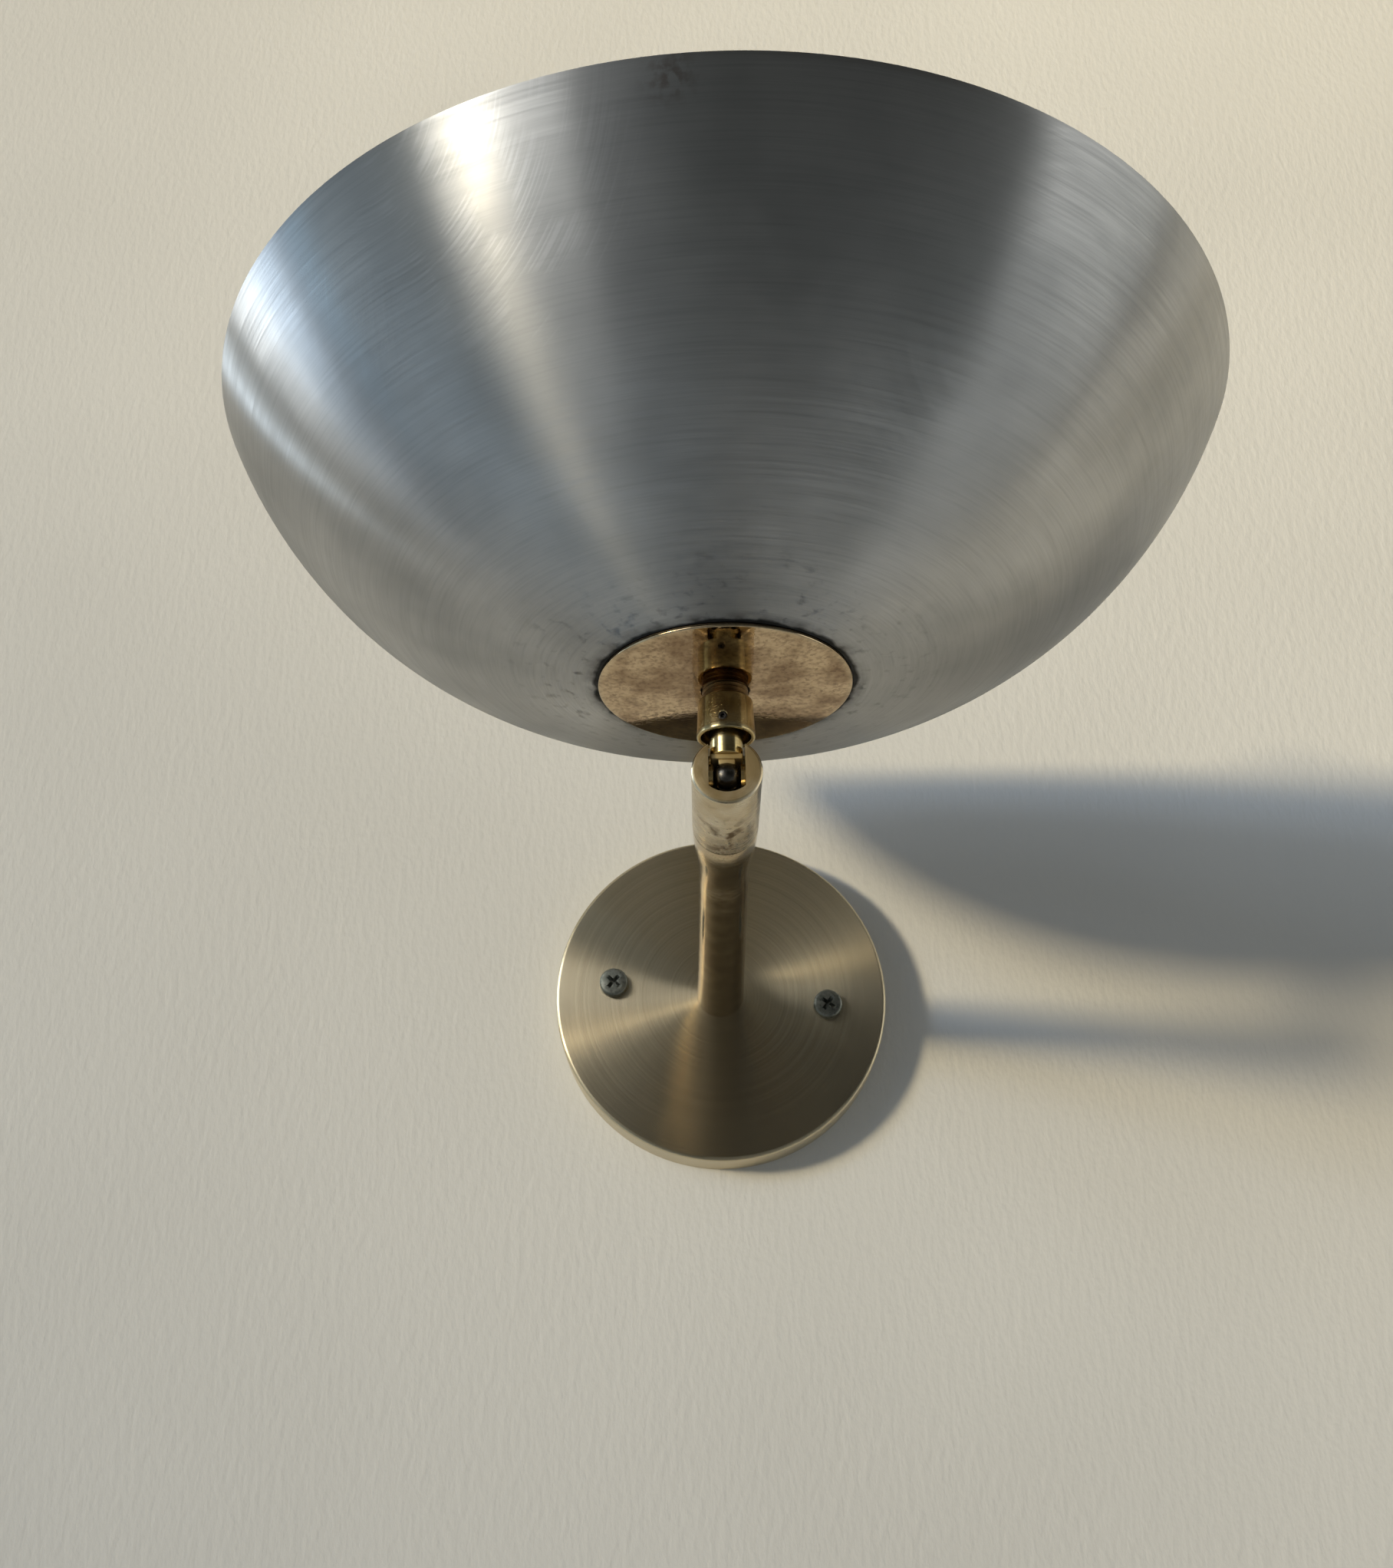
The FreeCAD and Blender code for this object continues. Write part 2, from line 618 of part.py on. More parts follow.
def knuckle_slot():
    """The milled slot: straight cheeks, a square back end with small corners, a dished floor."""
    half = SLOT_WIDTH / 2
    floor = -SLOT_FLOOR_DROP
    roof = KNUCKLE_RADIUS + OVERRUN
    front = FACE_REACH + OVERRUN
    back = PIVOT_REACH - STEM_RADIUS - SLOT_BACK_ROOM
    plan = Part.makeBox(SLOT_WIDTH, roof - floor, front - back, Vector(-half, floor, back))
    corners = [edge for edge in plan.Edges if edge.BoundBox.ZMax < back + SLOT_CORNER_RADIUS]
    corners = [edge for edge in corners if edge.BoundBox.XLength < SLOT_CORNER_RADIUS]
    plan = plan.makeFillet(SLOT_CORNER_RADIUS, corners)
    dish_centre = floor + SLOT_FLOOR_RADIUS
    length = front - SHOULDER_REACH
    dish = Part.makeCylinder(SLOT_FLOOR_RADIUS, length, Vector(0, dish_centre, SHOULDER_REACH))
    above = Part.makeBox(SLOT_WIDTH, roof - dish_centre, length, Vector(-half, dish_centre, SHOULDER_REACH))
    return plan.common(dish.fuse(above))


def knuckle():
    """A slotted cylinder, bored from the back for the spigot and through for the screw."""
    room = SWIVEL_HEAD_RADIUS + SWIVEL_HEAD_ROOM
    housing = turned_corners(
        (SWIVEL_SHANK_RADIUS + RUNNING_GAP, COUNTERBORE_END),
        (SPIGOT_RADIUS + RUNNING_GAP, COUNTERBORE_END),
        (SPIGOT_RADIUS + RUNNING_GAP, KNUCKLE_BACK),
        (KNUCKLE_RADIUS - SEAM_CHAMFER, KNUCKLE_BACK),
        (KNUCKLE_RADIUS, KNUCKLE_BACK + SEAM_CHAMFER),
        (KNUCKLE_RADIUS, FACE_REACH - FACE_CHAMFER),
        (KNUCKLE_RADIUS - FACE_CHAMFER, FACE_REACH),
        (0, FACE_REACH),
        (0, PIVOT_REACH),
        (room, PIVOT_REACH),
        (room, SHOULDER_REACH),
        (SWIVEL_SHANK_RADIUS + RUNNING_GAP, SHOULDER_REACH),
    )
    housing = housing.cut(knuckle_slot())
    pin_hole = cross_rod(PIN_RADIUS + PRESS_GAP, KNUCKLE_RADIUS + OVERRUN)
    housing = housing.cut(moved(pin_hole, z=PIVOT_REACH))
    return on_arm(housing)


def swivel_screw():
    """A hollow, slotted screw that holds the knuckle on the arm's end."""
    top = SWIVEL_HEAD_REACH + SWIVEL_HEAD_HEIGHT
    foot = SPIGOT_END - SOCKET_DEPTH + SWIVEL_END_GAP
    screw = turned_corners(
        (SWIVEL_BORE_RADIUS, foot),
        (SWIVEL_SHANK_RADIUS, foot),
        (SWIVEL_SHANK_RADIUS, SWIVEL_HEAD_REACH),
        (SWIVEL_HEAD_RADIUS, SWIVEL_HEAD_REACH),
        (SWIVEL_HEAD_RADIUS, top),
        (SWIVEL_BORE_RADIUS, top),
    )
    reach = 2 * SWIVEL_HEAD_RADIUS + OVERRUN
    slot = block(reach, SWIVEL_SLOT_WIDTH, top - SWIVEL_SLOT_DEPTH, top + OVERRUN)
    return on_arm(screw.cut(slot))


def swivel_washer():
    """A coned spring washer between the screw head and the knuckle's shoulder."""
    inner = SWIVEL_SHANK_RADIUS + RUNNING_GAP
    foot = SHOULDER_REACH + FACE_GAP
    washer = turned_corners(
        (SWIVEL_HEAD_RADIUS, foot),
        (SWIVEL_HEAD_RADIUS, foot + SPRING_WASHER_THICKNESS),
        (inner, foot + SPRING_WASHER_HEIGHT),
        (inner, foot + SPRING_WASHER_RISE),
    )
    return on_arm(washer)


def pivot_pin():
    """The cross pin, its ends just below the knuckle's round surface."""
    half = math.sqrt(KNUCKLE_RADIUS ** 2 - PIN_RADIUS ** 2) - PIN_END_SETBACK
    return on_shade(cross_rod(PIN_RADIUS, half))


def pivot_washers():
    """A friction washer on the pin at each side of the ball."""
    inner_face = BALL_WIDTH / 2 + FACE_GAP
    outer_face = SLOT_WIDTH / 2 - FACE_GAP
    washer = ring(PIN_RADIUS + RUNNING_GAP, PIVOT_WASHER_RADIUS, inner_face, outer_face)
    washer = spun(washer, QUARTER_TURN, Vector(0, 1, 0))
    other = spun(washer, FULL_TURN / 2)
    return on_shade(Part.makeCompound([washer, other]))


def pivot_ball():
    """A ball with flat cheeks, a cross bore and a seat for the stem."""
    ball = Part.makeSphere(BALL_RADIUS)
    ball = ball.common(block(BALL_WIDTH, 2 * BALL_RADIUS, -BALL_RADIUS, BALL_SEAT_RISE))
    ball = ball.cut(cross_rod(PIN_RADIUS + RUNNING_GAP, BALL_RADIUS))
    tenon_foot = BALL_SEAT_RISE - STEM_TENON_LENGTH
    seat = rod(STEM_TENON_RADIUS + PRESS_GAP, tenon_foot - PRESS_GAP, BALL_SEAT_RISE + OVERRUN)
    return on_shade(ball.cut(seat))


def stem():
    """A turned stem: tenon in the ball, slim neck, and a thick part up to the nipple."""
    outline = straight(
        (0, BALL_SEAT_RISE - STEM_TENON_LENGTH),
        (STEM_TENON_RADIUS, BALL_SEAT_RISE - STEM_TENON_LENGTH),
        (STEM_TENON_RADIUS, BALL_SEAT_RISE),
        (STEM_NECK_RADIUS, BALL_SEAT_RISE),
        (STEM_NECK_RADIUS, STEM_FOOT_RISE),
        (STEM_RADIUS - STEM_CHAMFER, STEM_FOOT_RISE),
        (STEM_RADIUS, STEM_FOOT_RISE + STEM_CHAMFER),
        (STEM_RADIUS, STEM_TOP - STEM_CHAMFER),
        (STEM_RADIUS - STEM_CHAMFER, STEM_TOP),
        (0, STEM_TOP),
        (0, BALL_SEAT_RISE - STEM_TENON_LENGTH),
    )
    return on_shade(turned(outline))


def at_grub(shape):
    """Lay a piece drawn up Z across the cup at the grub screw, facing the room."""
    laid = spun(shape, QUARTER_TURN, ACROSS)
    return moved(spun(laid, GRUB_TURN), z=CUP_FOOT_RISE + GRUB_RISE)


def cup():
    """A slightly tapered collar, open below and threaded on the nipple above."""
    bore = NIPPLE_RADIUS + THREAD_GAP
    outline = straight(
        (CUP_RECESS_RADIUS, CUP_FOOT_RISE),
        (CUP_FOOT_RADIUS - CUP_CHAMFER, CUP_FOOT_RISE),
        (CUP_FOOT_RADIUS, CUP_FOOT_RISE + CUP_CHAMFER),
        (CUP_TOP_RADIUS, CUP_TOP - CUP_CHAMFER),
        (CUP_TOP_RADIUS - CUP_CHAMFER, CUP_TOP),
        (bore, CUP_TOP),
        (bore, NIPPLE_FOOT),
        (CUP_RECESS_RADIUS, NIPPLE_FOOT),
        (CUP_RECESS_RADIUS, CUP_FOOT_RISE),
    )
    hole = rod(GRUB_RADIUS + THREAD_GAP, STEM_RADIUS, CUP_FOOT_RADIUS + OVERRUN)
    return on_shade(turned(outline).cut(at_grub(hole)))


def grub_screw():
    """A headless socket screw through the cup's wall, its tip on the stem."""
    top = CUP_FOOT_RADIUS - GRUB_SETBACK
    screw = rod(GRUB_RADIUS, STEM_RADIUS + FACE_GAP, top)
    socket = hexagon(GRUB_SOCKET_FLATS, top - GRUB_SOCKET_DEPTH, top + OVERRUN)
    return on_shade(at_grub(screw.cut(socket)))


def nipple():
    """A threaded tube from the stem through disc and bowl into the lampholder."""
    return on_shade(ring(STEM_RADIUS + THREAD_GAP, NIPPLE_RADIUS, NIPPLE_FOOT, CORE_FOOT - FACE_GAP))


def shade_disc():
    """The polished disc under the bowl, its lower edge rounded."""
    hole = NIPPLE_RADIUS + PASS_GAP
    edge = (DISC_RADIUS - DISC_EDGE_RADIUS, DISC_FOOT + DISC_EDGE_RADIUS)
    outline = straight((hole, BOWL_FOOT), (hole, DISC_FOOT), (edge[0], DISC_FOOT))
    outline += round_corner(edge, DISC_EDGE_RADIUS, -QUARTER_TURN, 0)
    outline += straight((DISC_RADIUS, edge[1]), (DISC_RADIUS, BOWL_FOOT), (hole, BOWL_FOOT))
    return on_shade(turned(outline))


def bowl_centre():
    """Centre of the bowl's arc, from the flat's edge, the rim and the arc's radius."""
    run = BOWL_RIM_RADIUS - BOWL_FLAT_RADIUS
    chord = math.hypot(run, BOWL_HEIGHT)
    offset = math.sqrt(BOWL_ARC_RADIUS ** 2 - (chord / 2) ** 2)
    middle = (BOWL_FLAT_RADIUS + run / 2, BOWL_FOOT + BOWL_HEIGHT / 2)
    return (middle[0] - offset * BOWL_HEIGHT / chord, middle[1] + offset * run / chord)


def bowl_arc(centre, radius, start, end):
    """The arc of a wall's outer or inner face between two of its points."""
    turns = [math.atan2(height - centre[1], reach - centre[0]) for reach, height in (start, end)]
    middle = sum(turns) / 2
    place = (centre[0] + radius * math.cos(middle), centre[1] + radius * math.sin(middle))
    return arc(start, place, end)


def bowl():
    """A spun bowl: flat floor, one sweeping curve and a plain trimmed rim."""
    hole = NIPPLE_RADIUS + PASS_GAP
    centre = bowl_centre()
    inner_radius = BOWL_ARC_RADIUS - BOWL_WALL
    rim = BOWL_FOOT + BOWL_HEIGHT
    inner_rim = centre[0] + math.sqrt(inner_radius ** 2 - (centre[1] - rim) ** 2)
    inner_flat = centre[0] + math.sqrt(inner_radius ** 2 - (centre[1] - BOWL_FLOOR) ** 2)
    outer_start = (BOWL_FLAT_RADIUS, BOWL_FOOT)
    outer_end = (BOWL_RIM_RADIUS, rim)
    outline = straight((hole, BOWL_FLOOR), (hole, BOWL_FOOT), outer_start)
    outline += bowl_arc(centre, BOWL_ARC_RADIUS, outer_start, outer_end)
    outline += straight(outer_end, (inner_rim, rim))
    outline += bowl_arc(centre, inner_radius, (inner_rim, rim), (inner_flat, BOWL_FLOOR))
    outline += straight((inner_flat, BOWL_FLOOR), (hole, BOWL_FLOOR))
    return on_shade(turned(outline))


def bowl_washer():
    return on_shade(ring(NIPPLE_RADIUS + PASS_GAP, BOWL_WASHER_RADIUS, BOWL_FLOOR, NIPPLE_NUT_FOOT))


def nipple_nut():
    return on_shade(nut(NIPPLE_NUT_FLATS, NIPPLE_RADIUS + THREAD_GAP, NIPPLE_NUT_FOOT, HOLDER_FOOT))


def holder_cap():
    """The lampholder's foot: a round cup with a threaded floor."""
    bore = NIPPLE_RADIUS + THREAD_GAP
    inner = HOLDER_RADIUS - CAP_WALL
    edge = (HOLDER_RADIUS - CAP_EDGE_RADIUS, HOLDER_FOOT + CAP_EDGE_RADIUS)
    outline = straight((bore, CORE_FOOT), (bore, HOLDER_FOOT), (edge[0], HOLDER_FOOT))
    outline += round_corner(edge, CAP_EDGE_RADIUS, -QUARTER_TURN, 0)
    outline += straight(
        (HOLDER_RADIUS, edge[1]),
        (HOLDER_RADIUS, SLEEVE_FOOT),
        (inner, SLEEVE_FOOT),
        (inner, CORE_FOOT),
        (bore, CORE_FOOT),
    )
    return on_shade(turned(outline))


def terminal_places():
    return [-TERMINAL_OFFSET, TERMINAL_OFFSET]


def holder_core():
    """The ceramic core, hollow below for the wires, with two screw holes on top."""
    radius = HOLDER_RADIUS - CAP_WALL - CORE_GAP
    core = rod(radius, CORE_FOOT, CORE_TOP)
    core = core.cut(rod(CORE_WELL_RADIUS, CORE_FOOT - OVERRUN, CORE_FOOT + CORE_WELL_DEPTH))
    hole = rod(TERMINAL_SHANK_RADIUS + THREAD_GAP, CORE_TOP - TERMINAL_SHANK_LENGTH, CORE_TOP + OVERRUN)
    for place in terminal_places():
        core = core.cut(moved(hole, x=place))
    return on_shade(core)


def holder_sleeve():
    """The outer sleeve: smooth bore for the lamp, pocket below, gripping flutes outside."""
    top = SLEEVE_FOOT + SLEEVE_LENGTH
    pocket = HOLDER_RADIUS - CAP_WALL
    pocket_top = SLEEVE_FOOT + SLEEVE_POCKET_HEIGHT
    bore = LAMP_THREAD_RADIUS + LAMP_THREAD_GAP
    edge = (HOLDER_RADIUS - SLEEVE_EDGE_RADIUS, top - SLEEVE_EDGE_RADIUS)
    outline = straight(
        (bore, top),
        (bore, pocket_top),
        (pocket, pocket_top),
        (pocket, SLEEVE_FOOT),
        (HOLDER_RADIUS, SLEEVE_FOOT),
        (HOLDER_RADIUS, edge[1]),
    )
    outline += round_corner(edge, SLEEVE_EDGE_RADIUS, 0, QUARTER_TURN)
    outline += straight((edge[0], top), (bore, top))
    sleeve = turned(outline)
    foot = SLEEVE_FOOT + SLEEVE_GRIP_MARGIN
    flute = moved(rod(SLEEVE_GRIP_RADIUS, foot, top - SLEEVE_GRIP_MARGIN), x=HOLDER_RADIUS)
    flutes = [spun(flute, FULL_TURN * index / SLEEVE_GRIP_COUNT) for index in range(SLEEVE_GRIP_COUNT)]
    return on_shade(sleeve.cut(flutes))


def strip(corners):
    """A bent strip: an outline in the XZ plane, drawn out across the contact's width."""
    half = Vector(0, CONTACT_WIDTH / 2, 0)
    points = [Vector(x, 0, z) - half for x, z in corners + corners[:1]]
    return Part.Face(Part.makePolygon(points)).extrude(half * 2)


def centre_contact():
    """A leaf from its terminal screw that rises to the lamp's tip."""
    tail = -TERMINAL_OFFSET - CONTACT_TAIL
    top = CORE_TOP + CONTACT_THICKNESS
    raised = CORE_TOP + CONTACT_RISE
    leaf = strip([
        (tail, CORE_TOP),
        (-CONTACT_BEND, CORE_TOP),
        (-CONTACT_TIP_HALF, raised),
        (CONTACT_TIP_HALF, raised),
        (CONTACT_TIP_HALF, raised + CONTACT_THICKNESS),
        (-CONTACT_TIP_HALF, raised + CONTACT_THICKNESS),
        (-CONTACT_BEND, top),
        (tail, top),
    ])
    return on_shade(drilled_contact(leaf, -TERMINAL_OFFSET))


def side_contact():
    """An upright tab from its terminal screw to the rim of the lamp's shell."""
    tail = TERMINAL_OFFSET + CONTACT_TAIL
    top = CORE_TOP + CONTACT_THICKNESS
    outer = SIDE_CONTACT_RADIUS + CONTACT_THICKNESS
    head = LAMP_SHELL_FOOT - FACE_GAP
    tab = strip([
        (tail, CORE_TOP),
        (tail, top),
        (outer, top),
        (outer, head),
        (SIDE_CONTACT_RADIUS, head),
        (SIDE_CONTACT_RADIUS, CORE_TOP),
    ])
    return on_shade(drilled_contact(tab, TERMINAL_OFFSET))


def drilled_contact(contact, place):
    hole = rod(TERMINAL_SHANK_RADIUS + PRESS_GAP, CORE_TOP - OVERRUN, TERMINAL_SEAT + OVERRUN)
    return contact.cut(moved(hole, x=place))


def holder_screws():
    """The two terminal screws, each through its contact into the core."""
    top = TERMINAL_SEAT + TERMINAL_HEAD_HEIGHT
    foot = CORE_TOP - TERMINAL_SHANK_LENGTH + FACE_GAP
    screw = rod(TERMINAL_HEAD_RADIUS, TERMINAL_SEAT, top)
    screw = screw.fuse(rod(TERMINAL_SHANK_RADIUS, foot, TERMINAL_SEAT))
    reach = 2 * TERMINAL_HEAD_RADIUS + OVERRUN
    screw = screw.cut(block(reach, TERMINAL_SLOT_WIDTH, top - TERMINAL_SLOT_DEPTH, top + OVERRUN))
    return on_shade(Part.makeCompound([moved(screw, x=place) for place in terminal_places()]))


def lamp_cap():
    """The lamp's screw shell, a thin tube pressed into round thread waves."""
    root = LAMP_THREAD_RADIUS - LAMP_THREAD_DEPTH
    bore = root - LAMP_SHELL_WALL
    outline = straight((root, LAMP_SHELL_TOP), (bore, LAMP_SHELL_TOP), (bore, LAMP_SHELL_FOOT))
    outline += straight((bore, LAMP_SHELL_FOOT), (root, LAMP_SHELL_FOOT))
    for turn in range(LAMP_THREAD_TURNS):
        foot = LAMP_SHELL_FOOT + LAMP_THREAD_PITCH * turn
        crest = (LAMP_THREAD_RADIUS, foot + LAMP_THREAD_PITCH / 2)
        outline += arc((root, foot), crest, (root, foot + LAMP_THREAD_PITCH))
    outline += straight((root, LAMP_SHELL_FOOT + LAMP_THREAD_LENGTH), (root, LAMP_SHELL_TOP))
    return on_shade(turned(outline))


def lamp_insulator():
    """The lamp's glass seal with the tip contact in its middle."""
    collar = LAMP_TIP + LAMP_TIP_HEIGHT
    bore = LAMP_THREAD_RADIUS - LAMP_THREAD_DEPTH - LAMP_SHELL_WALL - PRESS_GAP
    wide = collar + LAMP_SEAL_HEIGHT
    outline = straight(
        (0, LAMP_TIP),
        (LAMP_TIP_RADIUS, LAMP_TIP),
        (LAMP_TIP_RADIUS, collar),
        (LAMP_SEAL_RADIUS, collar),
        (bore, wide),
        (bore, wide + LAMP_SEAL_TOP),
        (0, wide + LAMP_SEAL_TOP),
        (0, LAMP_TIP),
    )
    return on_shade(turned(outline))


def lamp_globe():
    """A small round opal globe whose neck tapers straight off the ball into the shell."""
    top = LAMP_TIP + LAMP_LENGTH
    centre_height = top - GLOBE_RADIUS
    neck_foot = LAMP_SHELL_TOP - LAMP_NECK_DEPTH
    reach = math.hypot(LAMP_NECK_RADIUS, centre_height - LAMP_SHELL_TOP)
    neck_turn = -math.atan2(centre_height - LAMP_SHELL_TOP, LAMP_NECK_RADIUS)
    tangent_turn = math.degrees(neck_turn + math.acos(GLOBE_RADIUS / reach))
    tangent = (
        GLOBE_RADIUS * math.cos(math.radians(tangent_turn)),
        centre_height + GLOBE_RADIUS * math.sin(math.radians(tangent_turn)),
    )
    outline = straight(
        (0, top),
        (0, neck_foot),
        (LAMP_NECK_RADIUS, neck_foot),
        (LAMP_NECK_RADIUS, LAMP_SHELL_TOP),
        tangent,
    )
    outline += round_corner((0, centre_height), GLOBE_RADIUS, tangent_turn, QUARTER_TURN)
    return on_shade(turned(outline))


PIECES = (
    wall_plate,
    wall_screws,
    backing_bar,
    arm,
    arm_washer,
    arm_nut,
    earth_screw,
    earth_washer,
    terminal_block,
    terminal_sleeves,
    terminal_screws,
    block_screw,
    swivel_screw,
    swivel_washer,
    knuckle,
    pivot_pin,
    pivot_washers,
    pivot_ball,
    stem,
    cup,
    grub_screw,
    nipple,
    shade_disc,
    bowl,
    bowl_washer,
    nipple_nut,
    holder_cap,
    holder_core,
    holder_sleeve,
    centre_contact,
    side_contact,
    holder_screws,
    lamp_cap,
    lamp_insulator,
    lamp_globe,
)


def main():
    os.makedirs("parts", exist_ok=True)
    for piece in PIECES:
        shape = piece()
        volume = sum(solid.Volume for solid in shape.Solids)
        print(piece.__name__, len(shape.Solids), "solids", round(volume, 2), "mm3", shape.isValid())
        shape.exportStep("parts/" + piece.__name__ + ".step")


main()
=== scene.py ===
"""Adjustable wall light: finishes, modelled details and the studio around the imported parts.

Sizes in the classes are millimetres and angles are degrees. Objects are in metres in the part's
own frame: the wall is the plane y = 0, the light reaches out along -Y, and Z is up.
"""
import logging
import math
from dataclasses import dataclass
from enum import Enum
from typing import Any, Sequence

import bpy
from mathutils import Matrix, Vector


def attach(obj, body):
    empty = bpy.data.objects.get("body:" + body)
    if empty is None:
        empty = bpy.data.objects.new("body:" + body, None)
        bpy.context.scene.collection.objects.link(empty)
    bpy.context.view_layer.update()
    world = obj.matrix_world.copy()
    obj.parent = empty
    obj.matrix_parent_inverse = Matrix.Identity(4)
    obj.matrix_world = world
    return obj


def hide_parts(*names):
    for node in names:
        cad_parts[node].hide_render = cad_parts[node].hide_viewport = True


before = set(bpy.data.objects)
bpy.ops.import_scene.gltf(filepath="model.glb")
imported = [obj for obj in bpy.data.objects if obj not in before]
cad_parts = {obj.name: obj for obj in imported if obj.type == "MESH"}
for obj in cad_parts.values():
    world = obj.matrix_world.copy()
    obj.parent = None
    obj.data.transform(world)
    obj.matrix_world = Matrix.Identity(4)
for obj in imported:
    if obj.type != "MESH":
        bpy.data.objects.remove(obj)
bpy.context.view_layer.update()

LOG = logging.getLogger("wall_light")
MM = 0.001
# Corners closer than this are one, in metres, and faces that meet at less than this are flat.
WELD = 2e-6
FLAT_ANGLE = 0.4
# The flat of a thread's crest as a share of its pitch.
CREST_FLAT = 0.12
# How far a drill runs past what it cuts.
OVERRUN = 1.0
PIVOT_REACH = 175.3
LAMP_FAR = 9000.0
BOWL_LEFT = (-110.0, -178.0, 60.0)
# A quarter turn sets the shader's grain round the axis, so that lights stretch out across it.
ROUND_GRAIN = {"Metallic": 1.0, "Anisotropic Rotation": 0.25}

Pair = tuple[float, float]
Triple = tuple[float, float, float]
Colour = tuple[float, float, float, float]
Stops = tuple[tuple[float, str], ...]
Piece = bpy.types.Object
Socket = bpy.types.NodeSocket
Tree = bpy.types.NodeTree


class Body(Enum):
    """The three bodies that the joints move."""

    WALL = "wall_base"
    KNUCKLE = "knuckle"
    SHADE = "shade"


class Slot(Enum):
    """The record's material slots, named beside the small parts."""

    POLISHED_BRASS = "polished_brass"
    BRUSHED_BRASS = "brushed_brass"
    ZINC_STEEL = "zinc_steel"
    ALUMINIUM = "brushed_aluminium"
    NYLON = "white_nylon"
    PHENOLIC = "black_phenolic"
    CERAMIC = "white_ceramic"


class Lay(Enum):
    """An axis that pieces are turned and brushed about.

    Each has a point on the axis, its direction, and the turn about X that lays a bench piece on it.
    """

    ARM = ((0.0, 0.0, 0.0), (0.0, -1.0, 0.0), 90.0)
    SHADE = ((0.0, -PIVOT_REACH, 0.0), (0.0, 0.0, 1.0), 0.0)

    @property
    def centre(self) -> Vector:
        """The point on the axis, in metres."""
        return Vector(self.value[0]) * MM

    @property
    def axis(self) -> Vector:
        """The direction of the axis."""
        return Vector(self.value[1])

    @property
    def turn(self) -> float:
        """The turn about X, in radians."""
        return math.radians(self.value[2])


class Use(Enum):
    """Which surfaces a lamp acts on."""

    MATT = "matt"
    GLOSS = "gloss"


# Node and colour helpers


def linear(code: str) -> Colour:
    """Turn an sRGB hex colour into linear light.

    Args:
        code: Six hex digits.

    Returns:
        Red, green and blue as the shaders read them, and a full alpha.
    """
    parts = [int(code[start:start + 2], 16) / 255 for start in (0, 2, 4)]
    light = [part / 12.92 if part <= 0.04045 else ((part + 0.055) / 1.055) ** 2.4 for part in parts]
    return (light[0], light[1], light[2], 1.0)


def add(tree: Tree, kind: str, sockets: dict[int | str, Any] | None = None, output: int | str = 0,
        **settings: Any) -> Socket:
    """Add a node with its settings and links.

    Args:
        tree: The tree that takes the node.
        kind: The node's type, without its ShaderNode prefix.
        sockets: Input values or links, by name or number.
        output: The output that the caller goes on with.
        **settings: Properties of the node.

    Returns:
        The chosen output socket.
    """
    made = tree.nodes.new("ShaderNode" + kind)
    for name, value in settings.items():
        setattr(made, name, value)
    for key, value in (sockets or {}).items():
        if isinstance(value, Socket):
            tree.links.new(value, made.inputs[key])
        else:
            made.inputs[key].default_value = value
    return made.outputs[output]


